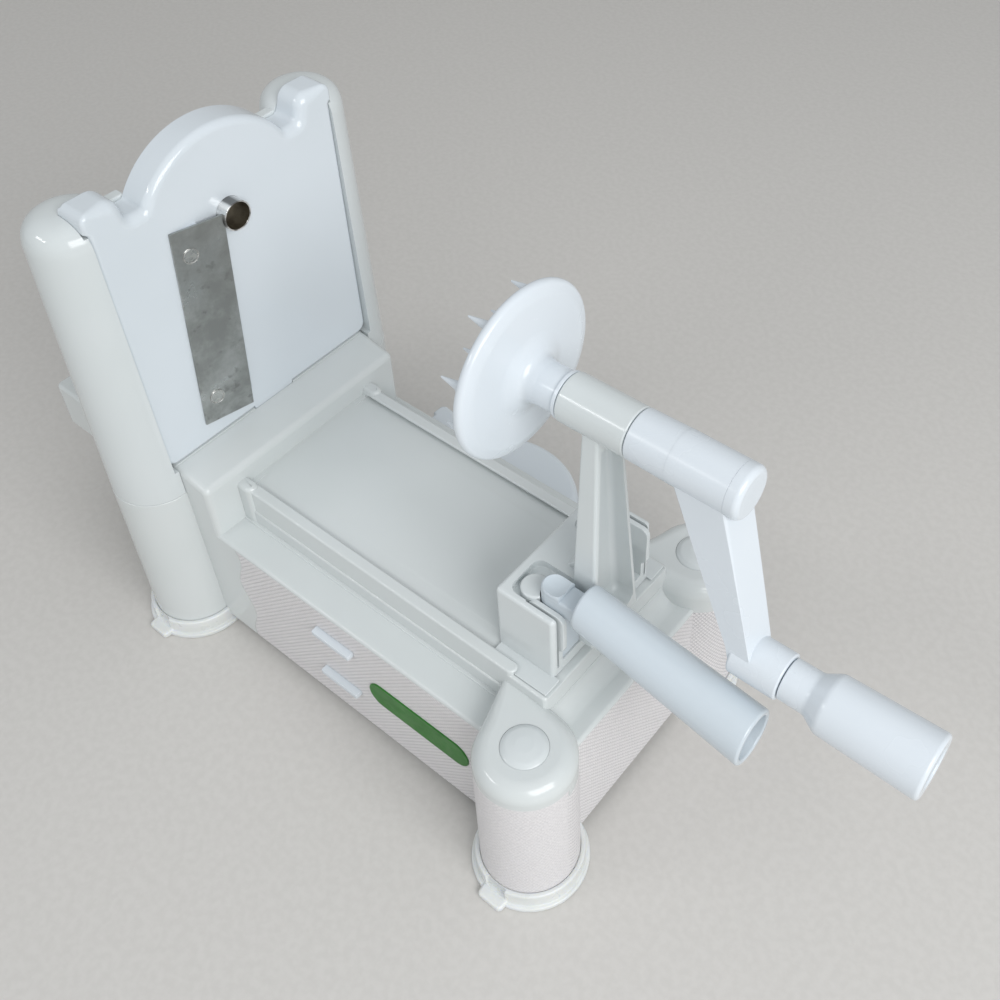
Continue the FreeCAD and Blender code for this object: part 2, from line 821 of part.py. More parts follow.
def badge():
    """A plain oval label on the near wall."""
    half = s.badge_length / 2 - s.badge_height / 2
    strip = block("badge_strip", (s.badge_x - half, s.badge_x + half),
                  (-s.base_side - s.badge_depth, -s.base_side),
                  (s.badge_z - s.badge_height / 2, s.badge_z + s.badge_height / 2))
    ends = [rod("badge_end_%d" % i, s.badge_height / 2, s.badge_depth, s.badge_x + half * i,
                -s.base_side - s.badge_depth, s.badge_z, ALONG_Y) for i in (-1, 1)]
    return finish_part(fuse("badge_solid", strip, *ends), "badge")


badge()


# Tower frame


def column(side, word):
    name = word + "_column"
    body = new_body(name + "_body")
    profile = new_sketch(body, name + "_profile", "XZ_Plane")
    outline(profile, [
        (0, s.seam_z),
        (s.column_low_radius, s.seam_z),
        (s.column_high_radius, s.column_shoulder_z),
        (0, s.column_shoulder_z),
    ])
    turned(body, name + "_turned", profile, "V_Axis")
    head = rod(name + "_head", s.column_high_radius, s.column_head_rise, 0, 0,
               s.column_shoulder_z)
    top = s.column_shoulder_z + s.column_head_rise
    whole = round_edges(name, fuse(name + "_blank", body, head), s.column_head_round,
                        lambda edge: edge.BoundBox.ZMin > float(top) - 0.1)
    return place(whole, s.rear_leg_x, side * s.leg_side, 0)


def plate_room(name, grow):
    """The space that the installed plate slides into, grown by a wall or a clearance."""
    back = -s.plate_rim - grow
    front = s.column_low_radius
    roof = s.ear_top + s.column_low_radius
    low = block(name + "_low", (back, front), (-s.base_side - grow, s.base_side + grow),
                (s.seam_z - s.overrun, s.plate_seat_z))
    tall = block(name + "_tall", (back, front), (-s.plate_half - grow, s.plate_half + grow),
                 (s.plate_seat_z - s.overrun, roof))
    ears = block(name + "_ears", (back, front), (-s.ear_outer - grow, s.ear_outer + grow),
                 (s.ear_step - s.ear_chamfer - s.slide_gap - grow, roof))
    return fuse(name, low, tall, ears)


def tower_frame():
    columns = [column(-1, "near"), column(1, "far")]
    bar = block("tower_bar", (s.rear_leg_x - s.bar_depth, s.rear_leg_x),
                (-s.leg_side, s.leg_side), (s.seam_z, s.seam_z + s.bar_height))
    guides = []
    for side, word in ((-1, "near"), (1, "far")):
        guides.append(block(word + "_guide",
                            (-s.plate_rim - s.guide_depth - s.overrun, -s.plate_rim - s.slide_gap),
                            ordered(side * s.guide_inner, side * s.guide_outer),
                            (s.seam_z, s.guide_top)))
    outer = fuse("tower_outer", *(columns + [bar] + guides))
    room = plate_room("plate_slot", s.slide_gap)
    body = cut("tower_cut", outer, room)
    hollows = []
    for side, word in ((-1, "near"), (1, "far")):
        bore = taper(word + "_column_bore", s.column_low_radius - s.leg_wall,
                     s.column_high_radius - s.leg_wall, s.column_shoulder_z - s.seam_z - s.column_ceiling,
                     s.rear_leg_x, side * s.leg_side, s.seam_z - s.overrun)
        hollow = cut(word + "_column_hollow", bore,
                     plate_room(word + "_wall_room", s.slide_gap + s.wall),
                     rod(word + "_screw_boss", s.screw_boss_radius,
                         s.screw_length + s.screw_boss_radius, s.rear_leg_x - s.screw_back,
                         side * (s.leg_side + s.screw_out), s.seam_z - s.overrun * 2))
        hollows.append(hollow)
        hollows.append(rod(word + "_screw_bore", s.screw_radius, s.screw_length,
                           s.rear_leg_x - s.screw_back, side * (s.leg_side + s.screw_out),
                           s.seam_z - s.overrun))
    return finish_part(cut("tower_hollow", body, *hollows), "tower_frame")


tower_frame()


def tower_screw(side, word):
    """A self tapping screw from the leg up into the column."""
    name = word + "_tower_screw"
    x = s.rear_leg_x - s.screw_back
    y = side * (s.leg_side + s.screw_out)
    ceiling = s.seam_z - s.leg_ceiling
    shank = rod(name + "_shank", s.screw_radius - s.seat_gap / 2, s.screw_length, x, y,
                ceiling - s.seat_gap)
    head = rod(name + "_head", s.screw_head_radius, s.screw_head_height, x, y,
               ceiling - s.seat_gap - s.screw_head_height)
    slots = [block(name + "_cross_%d" % i, (x - a, x + a), (y - b, y + b),
                   (ceiling - s.screw_head_height - s.overrun, ceiling - s.screw_head_height / 2))
             for i, (a, b) in enumerate(((s.screw_slot_half, s.screw_slot_thin),
                                         (s.screw_slot_thin, s.screw_slot_half)))]
    return finish_part(cut(name + "_solid", fuse(name + "_blank", shank, head), *slots), name)


tower_screw(-1, "near")
tower_screw(1, "far")


# Blade plates

def plate_profile(name, shrink, back, front):
    """The plate's front outline between two depths: a rectangle, a hump and two ears."""
    body = new_body(name + "_body")
    sketch = new_sketch(body, name + "_outline", "YZ_Plane", back)
    side = s.plate_half - shrink
    ear_in, ear_out = s.ear_inner + shrink, s.ear_outer - shrink
    ear_top = s.ear_top - shrink
    step = s.ear_step + shrink
    dip = s.ear_step - s.ear_dip - shrink
    right = [
        (side, s.plate_seat_z + 3.0 + shrink),
        (side, step - s.ear_chamfer),
        (ear_out, step),
        (ear_out, ear_top - 2.4),
        (ear_out - 1.2, ear_top - 0.9),
        (ear_out - 4.0, ear_top),
        (ear_in + 5.4, ear_top),
        (ear_in + 2.6, ear_top - 1.6),
        (ear_in, ear_top - 5.4),
        (ear_in - 1.2, dip + 1.4),
        (s.hump_radius - 6.4, dip),
    ]
    left = [(-as_size(y), z) for y, z in reversed(right)]
    bottom = [
        (-side + 3.0, s.plate_seat_z + shrink),
        (side - 3.0, s.plate_seat_z + shrink),
    ]
    outline(sketch, right + left + bottom)
    pad(body, name + "_pad", sketch, as_size(front) - back)
    hump = rod(name + "_hump", s.hump_radius - shrink, as_size(front) - back, back, 0,
               s.spindle_z - s.hump_drop, ALONG_X)
    return fuse(name, body, hump)


def blade_box(name, across, along, depth):
    """A box in the blade's own frame: across from its left edge, along from its top."""
    (a0, a1), (l0, l1), (d0, d1) = across, along, depth
    box = doc.addObject("Part::Box", name)
    bind(box, Length=as_size(d1) - d0, Width=as_size(a1) - a0, Height=as_size(l1) - l0)
    tilt = s.blade_tilt
    across_y, across_z = cosine(tilt), sine(tilt)
    box.Placement = Placement(Vector(0, 0, 0), Rotation(Vector(1, 0, 0), -tilt.value))
    y = s.blade_left_y + across_y * as_size(a0) - across_z * as_size(l1)
    z = s.blade_top_z - across_z * as_size(a0) - across_y * as_size(l1)
    return place(box, d0, y, z)


def raised(name, across, along, depth):
    """The same box, also rising towards the cutting edge."""
    (a0, a1), (l0, l1), (d0, d1) = across, along, depth
    box = doc.addObject("Part::Box", name)
    bind(box, Length=as_size(d1) - d0, Width=as_size(a1) - a0, Height=as_size(l1) - l0)
    tilt, rise = s.blade_tilt, s.blade_rise
    turn = Rotation(Vector(1, 0, 0), -tilt.value).multiply(Rotation(Vector(0, 0, 1), -rise.value))
    box.Placement = Placement(Vector(0, 0, 0), turn)
    lift, flat = sine(rise), cosine(rise)
    x = as_size(d0) * flat + as_size(a0) * lift
    sideways = as_size(a0) * flat - as_size(d0) * lift
    y = s.blade_left_y + cosine(tilt) * sideways - sine(tilt) * as_size(l1)
    z = s.blade_top_z - sine(tilt) * sideways - cosine(tilt) * as_size(l1)
    return place(box, x, y, z)


STANDING = Placement()


def stored(height):
    """Lays a plate down in the base, front face up, hump towards the far side."""
    turn = Rotation(Vector(1, 1, 1), -120)
    shift = Vector(float(s.store_x),
                   -float(s.base_side - s.wall - s.loose_gap) - float(s.plate_seat_z), height)
    return Placement(shift, turn)


PLATES = {
    "ribbon": (STANDING, None),
    "fine": (stored(float(s.upper_store_z)), s.fine_pitch),
    "coarse": (stored(float(s.upper_store_z - s.store_pitch)), s.coarse_pitch),
}


def rivet_places():
    return ((s.rivet_inset, s.rivet_end), (s.rivet_inset, s.blade_length - s.rivet_end))


def blade_plate(kind):
    where, pitch = PLATES[kind]
    skin = -s.plate_skin
    face = plate_profile(kind + "_face", 0.0, -s.plate_rim, 0.0)
    face = round_edges(kind + "_face_round", face, s.plate_round,
                       lambda edge: spans(edge, x=0.0), "Part::Chamfer")
    hollow = plate_profile(kind + "_hollow", s.plate_skin, -s.plate_rim - 1.0, skin)
    pieces = [cut(kind + "_shell", face, hollow)]
    pieces.append(block(kind + "_tab", (-s.tab_thickness, 0),
                        (-s.tab_width / 2, s.tab_width / 2),
                        (s.plate_seat_z - s.tab_length, s.plate_seat_z + 2.0)))
    tube_start = skin - s.tube_seat
    pieces.append(rod(kind + "_tube_boss", s.tube_radius + s.tube_boss_wall,
                      s.tube_seat + s.overrun, tube_start, 0, s.spindle_z, ALONG_X))
    seat_end = s.rivet_inset + s.rivet_radius + s.blade_seat_margin
    inset = s.blade_seat_inset
    seat = raised(kind + "_seat", (inset, seat_end), (inset, s.blade_length - inset),
                  (skin, -s.seat_gap))
    keep = block(kind + "_seat_front", (-s.overrun, s.plate_rim), (-s.plate_half, s.plate_half),
                 (s.plate_seat_z, s.ear_top))
    pieces.append(common(kind + "_seat_wedge", seat, keep))
    for i, (across, along) in enumerate(rivet_places()):
        pieces.append(blade_rod(kind + "_rivet_boss_%d" % i, s.rivet_radius + s.rivet_boss_wall,
                                across, along, skin - s.rivet_grip, 0.0))
    body = fuse(kind + "_plate_blank", *pieces)
    behind, ahead = -s.plate_rim * 2, s.plate_rim
    through = ahead - behind
    tools = [rod(kind + "_tube_hole", s.tube_radius + s.seat_gap, through, behind, 0, s.spindle_z,
                 ALONG_X)]
    tools.append(blade_box(kind + "_window",
                           (seat_end + s.window_margin, s.blade_width + s.window_past_edge),
                           (s.window_end, s.blade_length - s.window_end), (behind, ahead)))
    for i, (across, along) in enumerate(rivet_places()):
        tools.append(blade_rod(kind + "_rivet_hole_%d" % i, s.rivet_radius + s.seat_gap, across,
                               along, behind, ahead))
    if pitch is not None:
        tools.append(blade_box(kind + "_comb_slot",
                               (comb_edge() - s.seat_gap,
                                comb_edge() + s.comb_thickness + s.seat_gap),
                               (s.comb_start - s.seat_gap,
                                s.blade_length - s.comb_end + s.seat_gap), (behind, ahead)))
    plate = cut(kind + "_plate_solid", body, *tools)
    plate.Placement = where
    finish_part(plate, kind + "_plate")

    blade = raised(kind + "_blade_blank", (0, s.blade_width), (0, s.blade_length),
                   (0, s.blade_thickness))
    holes = [blade_rod(kind + "_blade_hole_%d" % i, s.rivet_radius + s.seat_gap, across, along,
                       behind, ahead) for i, (across, along) in enumerate(rivet_places())]
    corner = rod(kind + "_blade_corner", s.tube_radius + s.seat_gap * 2, through, behind, 0,
                 s.spindle_z, ALONG_X)
    blade = cut(kind + "_blade_solid", blade, corner, *holes)
    blade.Placement = where
    finish_part(blade, kind + "_blade")

    rivets = []
    grip_end = skin - s.rivet_grip - s.seat_gap
    rivet_top = sine(s.blade_rise) * s.rivet_inset + s.blade_thickness + s.rivet_stand
    for i, (across, along) in enumerate(rivet_places()):
        shank = blade_rod(kind + "_rivet_%d" % i, s.rivet_radius, across, along, grip_end,
                          rivet_top)
        head = blade_rod(kind + "_rivet_head_%d" % i, s.rivet_radius + s.rivet_head_wide, across,
                         along, grip_end - s.rivet_head_wide, grip_end)
        rivets.append(fuse(kind + "_rivet_solid_%d" % i, shank, head))
    group = fuse(kind + "_rivet_pair", *rivets)
    group.Placement = where
    finish_part(group, kind + "_rivets")

    tube = rod(kind + "_tube_outer", s.tube_radius, s.tube_reach - tube_start, tube_start, 0,
               s.spindle_z, ALONG_X)
    bore = rod(kind + "_tube_bore", s.tube_radius - s.tube_wall, through, behind, 0,
               s.spindle_z, ALONG_X)
    tube = cut(kind + "_tube_solid", tube, bore)
    tube.Placement = where
    finish_part(tube, kind + "_coring_tube")

    if pitch is not None:
        comb = comb_strip(kind, pitch)
        comb.Placement = where
        finish_part(comb, kind + "_comb")


def blade_rod(name, radius, across, along, start, end):
    """A cylinder through the plate at a place in the blade's own frame."""
    tilt = s.blade_tilt
    y = s.blade_left_y + cosine(tilt) * as_size(across) - sine(tilt) * as_size(along)
    z = s.blade_top_z - sine(tilt) * as_size(across) - cosine(tilt) * as_size(along)
    return rod(name, radius, as_size(end) - start, start, y, z, ALONG_X)


def comb_edge():
    """Where the comb starts, across from the blade's left edge."""
    return s.blade_width + s.comb_offset


def comb_strip(kind, pitch):
    """A steel strip with a row of pointed cutters that stand out of the plate."""
    width = (comb_edge(), comb_edge() + s.comb_thickness)
    root = s.comb_root
    strip = blade_box(kind + "_strip", width, (s.comb_start, s.blade_length - s.comb_end),
                      (-s.plate_skin - s.comb_back, root))
    teeth = []
    run = s.blade_length - s.comb_end - s.comb_start
    count = int((run.value - s.tooth_width.value) / pitch.value) + 1
    for i in range(count):
        start = s.comb_start + i * pitch
        teeth.append(blade_box("%s_tooth_%d" % (kind, i), width, (start, start + s.tooth_width),
                               (-root, s.tooth_height)))
    return fuse(kind + "_comb_solid", strip, *teeth)


for kind in PLATES:
    blade_plate(kind)


# Carriage


def post_front(name, trim):
    """The post seen from the crank's end: narrow under the bearing, wide at its foot."""
    top, foot = s.post_half_top - trim, s.post_half_foot - trim
    middle_x = (s.post_back_x + s.post_mouth_x) / 2
    return prism(name, "YZ_Plane", [
        (-as_size(foot), s.post_bottom_z),
        (foot, s.post_bottom_z),
        (top, s.spindle_z),
        (-as_size(top), s.spindle_z),
    ], s.post_mouth_offset * 2, middle_x)


def lug_room(side, word):
    """The recess that a side handle's lug drops into, and its spring slot."""
    gap = s.loose_gap
    half = s.lug_width / 2 + gap
    y = side * s.handle_side
    front = s.lug_front_x - gap
    low = s.lug_bottom_z - gap
    slot_side = s.handle_side + half + s.spring_wall
    back = s.saddle_back_x + s.tongue_tail + s.overrun
    return [
        block(word + "_lug_recess", (front + half, back), (y - half, y + half),
              (low, s.saddle_z + s.overrun)),
        rod(word + "_lug_round", half, s.lug_top_z - low, front + half, y, low),
        block(word + "_lug_slot", (s.lug_front_x - s.slot_lead, back),
              ordered(side * slot_side, side * (slot_side + s.slot_width)),
              (low - s.slot_below, s.saddle_z + s.overrun)),
    ]


def carriage():
    wall = s.wall
    base = s.deck_z + s.slide_gap
    saddle = block("saddle_box", (s.saddle_front_x, s.saddle_back_x),
                   (-s.saddle_half, s.saddle_half), (base, s.saddle_z))
    saddle = round_edges("saddle_edges", saddle, s.saddle_round,
                         lambda edge: spans(edge, x=s.saddle_front_x) or spans(edge, z=s.saddle_z))
    room = block("saddle_room", (s.saddle_front_x + wall, s.saddle_back_x - wall),
                 (-s.handle_side + s.lug_width / 2 + s.loose_gap + wall,
                  s.handle_side - s.lug_width / 2 - s.loose_gap - wall),
                 (base - s.overrun, s.saddle_z - s.saddle_ceiling))
    lip_under = s.rail_z - s.lip_height
    tongue_top = lip_under - s.slide_gap
    tongues = [block(word + "_saddle_tongue", (s.saddle_front_x + s.tongue_setback,
                                                s.saddle_back_x + s.tongue_tail),
                     ordered(side * (s.saddle_half - s.tongue_root), side * s.tongue_reach),
                     (tongue_top - s.tongue_thickness, tongue_top))
               for side, word in ((-1, "near"), (1, "far"))]
    post = common("post_blank", prism("post_side", "XZ_Plane", [
        (s.post_back_x, s.spindle_z),
        (s.post_back_x, s.post_bottom_z),
        (s.post_mouth_x - s.toe_round, s.post_bottom_z),
        (s.post_mouth_x, s.post_bottom_z + s.toe_round),
        (s.post_mouth_top_x, s.spindle_z),
    ], s.post_half_foot * 2 + s.overrun), post_front("post_front", 0))
    channel_top = s.spindle_z - s.bearing_radius - s.channel_top
    channel_floor = s.post_bottom_z + s.toe_floor
    open_x = s.post_mouth_x + wall
    channel = common("post_channel", prism("channel_side", "XZ_Plane", [
        (s.post_back_x + s.post_wall, channel_top),
        (s.post_back_x + s.post_wall, channel_floor),
        (open_x, channel_floor),
        (open_x, channel_top),
    ], s.post_half_foot * 2 + s.overrun), post_front("channel_front", s.post_wall))
    bearing = rod("bearing_tube", s.bearing_radius, s.bearing_back_x - s.bearing_front_x,
                  s.bearing_front_x, 0, s.spindle_z, ALONG_X)
    recesses = [block(word + "_saddle_recess",
                      (s.saddle_front_x + s.recess_front, s.saddle_back_x + s.overrun),
                      ordered(side * s.recess_inner, side * (s.saddle_half - s.recess_rim)),
                      (s.saddle_z - s.recess_depth, s.saddle_z + s.overrun))
                for side, word in ((-1, "near"), (1, "far"))]
    hollow_saddle = cut("saddle_hollow", saddle, room, *recesses)
    post_solid = cut("post_solid", post, channel)
    gusset_z = s.saddle_z - s.gusset_inset
    web = prism("post_gusset", "XZ_Plane", [
        (s.post_back_x - s.gusset_front, gusset_z),
        (s.post_back_x - s.gusset_front / 6, gusset_z + s.gusset_height / 2),
        (s.post_back_x + s.overrun, gusset_z + s.gusset_height),
        (s.post_back_x + s.overrun, gusset_z),
    ], s.gusset_half * 2)
    bosses = []
    spring = s.handle_side + s.lug_width / 2 + s.loose_gap
    for side, word in ((-1, "near"), (1, "far")):
        bosses.append(rod(word + "_press_boss", s.press_boss_radius,
                          s.press_boss_height + s.recess_depth + s.overrun,
                          s.lug_front_x - s.press_boss_lead, side * s.press_boss_side,
                          s.saddle_z - s.recess_depth - s.overrun))
        bosses.append(block(word + "_spring",
                            (s.lug_front_x - s.slot_lead, s.saddle_back_x + s.spring_reach),
                            ordered(side * spring, side * (spring + s.spring_wall)),
                            (s.saddle_z - s.spring_drop, s.saddle_z)))
    whole = fuse("carriage_blank", hollow_saddle, post_solid, bearing, web,
                 *(tongues + bosses))
    tools = lug_room(-1, "near") + lug_room(1, "far")
    tools.append(rod("bearing_bore", s.shaft_radius + s.bush_wall + s.seat_gap,
                     s.bearing_back_x - s.bearing_front_x + s.overrun * 2,
                     s.bearing_front_x - s.overrun, 0, s.spindle_z, ALONG_X))
    return finish_part(cut("carriage_solid", whole, *tools), "carriage")


carriage()


def bush(word, x):
    """A plain bearing bush pressed into one end of the bearing tube."""
    name = word + "_bush"
    sleeve = rod(name + "_sleeve", s.shaft_radius + s.bush_wall, s.bush_length, x, 0,
                 s.spindle_z, ALONG_X)
    bore = rod(name + "_bore", s.shaft_radius + s.running_gap, s.bush_length + s.overrun * 2,
               x - s.overrun, 0, s.spindle_z, ALONG_X)
    return finish_part(cut(name + "_solid", sleeve, bore), name)


bush("front", s.bearing_front_x + s.bush_inset)
bush("rear", s.bearing_back_x - s.bush_length - s.bush_inset)


def side_handle():
    """A drooping tube on a flat lug that drops into the carriage and clicks."""
    lean, fall = cosine(s.handle_droop), sine(s.handle_droop)
    turn = Rotation(Vector(0, 1, 0), 90 + s.handle_droop.value)
    y = -s.handle_side
    end_x = s.handle_start_x + lean * s.handle_length
    spare = s.handle_radius / 2
    tube = taper("handle_tube", s.handle_neck_radius, s.handle_radius,
                 s.handle_length + s.handle_radius, s.handle_start_x - lean * spare, y,
                 s.handle_start_z + fall * spare, turn)
    ends = [block(name, (low, low + s.handle_length),
                  (y - s.handle_side, y + s.handle_side), (s.deck_z, s.spindle_z))
            for name, low in (("handle_beyond", end_x),
                              ("handle_before", s.handle_start_x - s.handle_length))]
    tube = cut("handle_trim", tube, *ends)
    tube = round_edges("handle_edges", tube, s.handle_round, lambda edge: edge.Closed)
    bore = taper("handle_bore", s.handle_neck_radius - s.handle_wall,
                 s.handle_radius - s.handle_wall, s.handle_length,
                 s.handle_start_x + lean * s.handle_plug, y,
                 s.handle_start_z - fall * s.handle_plug, turn)
    half = s.lug_width / 2
    nose_x = s.lug_front_x + half
    neck_x = s.handle_start_x + s.lug_overlap
    head_z = s.saddle_z - s.lug_bar_drop
    lug = block("lug_bar", (nose_x, s.saddle_back_x - s.lug_setback),
                (y - half, y + half), (s.lug_bottom_z, s.lug_top_z - s.lug_bar_drop))
    nose = rod("lug_nose", half, s.lug_top_z - s.lug_bottom_z, nose_x, y, s.lug_bottom_z)
    head = block("lug_head", (nose_x, neck_x), (y - half, y + half),
                 (head_z, s.lug_top_z - s.lug_head_drop))
    rim = block("lug_rim", (nose_x, nose_x + s.lug_rim_length), (y - half, y + half),
                (head_z, s.lug_top_z))
    web_half = half - s.lug_web_inset
    web = block("lug_web", (s.saddle_back_x - s.lug_setback, neck_x),
                (y - web_half, y + web_half),
                (s.handle_start_z - s.handle_radius + s.lug_web_rise, s.saddle_z))
    dimple = ball("lug_dimple", s.lug_dimple_radius, nose_x + s.lug_dimple_shift, y,
                  s.lug_top_z + s.lug_dimple_lift)
    whole = fuse("handle_blank", tube, lug, nose, head, rim, web)
    return finish_part(cut("side_handle_solid", whole, bore, dimple), "side_handle")


side_handle()


# Spindle and crank

def spiked_disc():
    """A round food holder: rounded disc, tapered hub and spikes towards the plate."""
    body = new_body("disc_body")
    profile = new_sketch(body, "disc_profile", "XZ_Plane")
    x, axis = s.disc_x, s.spindle_z
    back = x + s.disc_thickness
    bore = s.shaft_radius + s.seat_gap
    hub_end = s.bearing_front_x - s.loose_gap
    outline(profile, [
        (x, axis),
        (x, axis + s.disc_radius - s.disc_round),
        (x + s.disc_round * 0.3, axis + s.disc_radius - s.disc_round * 0.3),
        (x + s.disc_round * 0.8, axis + s.disc_radius),
        (x + s.disc_round * 1.2, axis + s.disc_radius - s.disc_round * 0.2),
        (back - s.disc_dome, axis + s.disc_radius - s.disc_round * 2),
        (back + s.disc_dome, axis + s.disc_radius / 2),
        (back + s.disc_flare, axis + s.disc_hub_radius + s.disc_flare),
        (back + s.disc_flare * 2, axis + s.disc_hub_radius + s.disc_dome),
        (hub_end, axis + s.disc_hub_radius),
        (hub_end, axis + bore),
        (x + s.wall, axis + bore),
        (x + s.wall, axis),
    ])
    turn_about(body, "disc_turned", profile, axis)
    spikes = []
    count = int(s.spike_count.value)
    for i in range(count):
        angle = s.spike_phase.value + 360.0 * i / count
        ring = s.spike_ring if i % 2 == 0 else s.spike_inner_ring
        y = ring * math.cos(math.radians(angle))
        z = s.spindle_z + ring * math.sin(math.radians(angle))
        spikes.append(taper("spike_%d" % i, s.spike_tip, s.spike_radius,
                            s.spike_length + s.overrun, s.disc_x - s.spike_length, y, z,
                            ALONG_X))
    return finish_part(fuse("spiked_disc_solid", body, *spikes), "spiked_disc")


def turn_about(body, name, sketch, height):
    """Revolves an outline about the line along X at a height."""
    length = s.wall
    index = sketch.addGeometry(Part.LineSegment(Vector(0, float(height), 0),
                                                Vector(float(length), float(height), 0)), True)
    pin_point(sketch, index, 1, 0, height)
    pin_point(sketch, index, 2, length, height)
    feature = body.newObject("PartDesign::Revolution", name)
    feature.Profile = sketch
    feature.ReferenceAxis = (sketch, ["Axis0"])
    feature.Angle = 360.0
    doc.recompute()
    return feature


spiked_disc()


def along_spindle(name, radius, start, end):
    start = as_size(start)
    return rod(name, radius, as_size(end) - start, start, 0, s.spindle_z, ALONG_X)


def shaft_end():
    """The shaft stops short of the cap, where the screw enters it."""
    return s.cap_end_x - s.cap_length - s.screw_seat


def drive_shaft():
    start = s.disc_x + s.wall + s.seat_gap
    return finish_part(along_spindle("drive_shaft_solid", s.shaft_radius, start, shaft_end()),
                       "drive_shaft")


def crank_collar():
    """A spacer ring between the bearing tube and the crank's hub."""
    start = s.bearing_back_x + s.loose_gap
    ring = along_spindle("collar_ring", s.collar_radius, start, s.collar_end_x - s.seat_gap)
    bore = along_spindle("collar_bore", s.shaft_radius + s.seat_gap, start - s.overrun,
                         s.collar_end_x + s.overrun)
    return finish_part(cut("crank_collar_solid", ring, bore), "crank_collar")


drive_shaft()
crank_collar()


def crank_arm():
    """Hub, leaning arm and grip boss in one moulding, drawn hanging straight down."""
    axis = s.spindle_z
    grip = axis - s.crank_radius
    hub_end = s.cap_end_x - s.cap_length - s.seat_gap
    hub = along_spindle("crank_hub", s.hub_radius, s.collar_end_x, hub_end)
    boss = rod("crank_boss", s.boss_radius, s.grip_start_x - s.loose_gap - s.boss_start_x,
               s.boss_start_x, 0, grip, ALONG_X)
    slab = prism("arm_side", "XZ_Plane", [
        (s.collar_end_x + s.arm_setback, axis),
        (hub_end - s.arm_setback, axis),
        (s.boss_start_x + s.arm_foot, grip + s.arm_bend_z),
        (s.boss_start_x + s.arm_foot + s.arm_bend_x, grip),
        (s.boss_start_x, grip),
        (s.boss_start_x - s.arm_bend_x, grip + s.arm_bend_z),
    ], s.arm_half * 2)
    front = prism("arm_front", "YZ_Plane", [
        (-s.arm_half, axis),
        (s.arm_half, axis),
        (s.arm_foot_half, grip),
        (-s.arm_foot_half, grip),
    ], s.grip_end_x * 2)
    arm = common("arm_tapered", slab, front)
    whole = fuse("crank_arm_blank", hub, boss, arm)
    shaft_bore = along_spindle("crank_hub_bore", s.shaft_radius + s.seat_gap,
                               s.collar_end_x - s.overrun, shaft_end() + s.seat_gap)
    screw_bore = along_spindle("crank_screw_bore", s.screw_radius + s.seat_gap, s.collar_end_x,
                               s.cap_end_x)
    head_bore = along_spindle("crank_head_bore", s.screw_head_radius + s.seat_gap * 2,
                              hub_end - s.screw_head_height - s.seat_gap, s.cap_end_x)
    back = s.boss_start_x - s.arm_bend_x - s.overrun
    pin_bore = rod("crank_pin_bore", s.pin_radius + s.seat_gap, s.grip_end_x - back, back, 0,
                   grip, ALONG_X)
    pin_room = rod("crank_pin_room", s.pin_head_radius + s.seat_gap,
                   s.boss_start_x + s.pin_head_height + s.seat_gap * 2 - back, back, 0, grip,
                   ALONG_X)
    cap_room = along_spindle("crank_cap_room", s.hub_radius + s.seat_gap, hub_end,
                             s.boss_start_x + s.arm_foot)
    arm_solid = cut("crank_arm_solid", whole, shaft_bore, screw_bore, head_bore, pin_bore,
                    pin_room, cap_room)
    return finish_crank(arm_solid, "crank_arm")


def finish_crank(thing, label):
    """Turns a crank piece about the spindle to its rest angle."""
    turn = Rotation(Vector(1, 0, 0), s.crank_rest.value)
    centre = Vector(0, 0, float(s.spindle_z))
    thing.Placement = Placement(Vector(0, 0, 0), turn, centre)
    return finish_part(thing, label)


crank_arm()


def crank_screw():
    """The screw that holds the hub on the shaft, sunk under the cap."""
    hub_end = s.cap_end_x - s.cap_length - s.seat_gap
    head = along_spindle("crank_screw_head", s.screw_head_radius,
                         hub_end - s.screw_head_height, hub_end)
    shank = along_spindle("crank_screw_shank", s.screw_radius,
                          shaft_end() + s.seat_gap * 2, hub_end)
    return finish_crank(fuse("crank_screw_solid", head, shank), "crank_screw")


def crank_cap():
    """A domed cap over the hub's end."""
    start = s.cap_end_x - s.cap_length
    cap = along_spindle("cap_disc", s.hub_radius, start, s.cap_end_x)
    cap = round_edges("cap_edge", cap, s.cap_round, lambda edge: spans(edge, x=s.cap_end_x))
    return finish_crank(cap, "crank_cap")


crank_screw()
crank_cap()


def grip_pin():
    """The headed pin on which the crank grip turns."""
    grip = s.spindle_z - s.crank_radius
    start = s.boss_start_x + s.seat_gap
    end_x = s.grip_end_x - s.grip_socket
    shank = rod("grip_pin_shank", s.pin_radius, end_x - start, start, 0, grip, ALONG_X)
    head = rod("grip_pin_head", s.pin_head_radius, s.pin_head_height, start, 0, grip, ALONG_X)
    end = rod("grip_pin_end", s.pin_head_radius, s.pin_head_height, end_x, 0, grip, ALONG_X)
    return finish_crank(fuse("grip_pin_solid", shank, head, end), "grip_pin")


grip_pin()


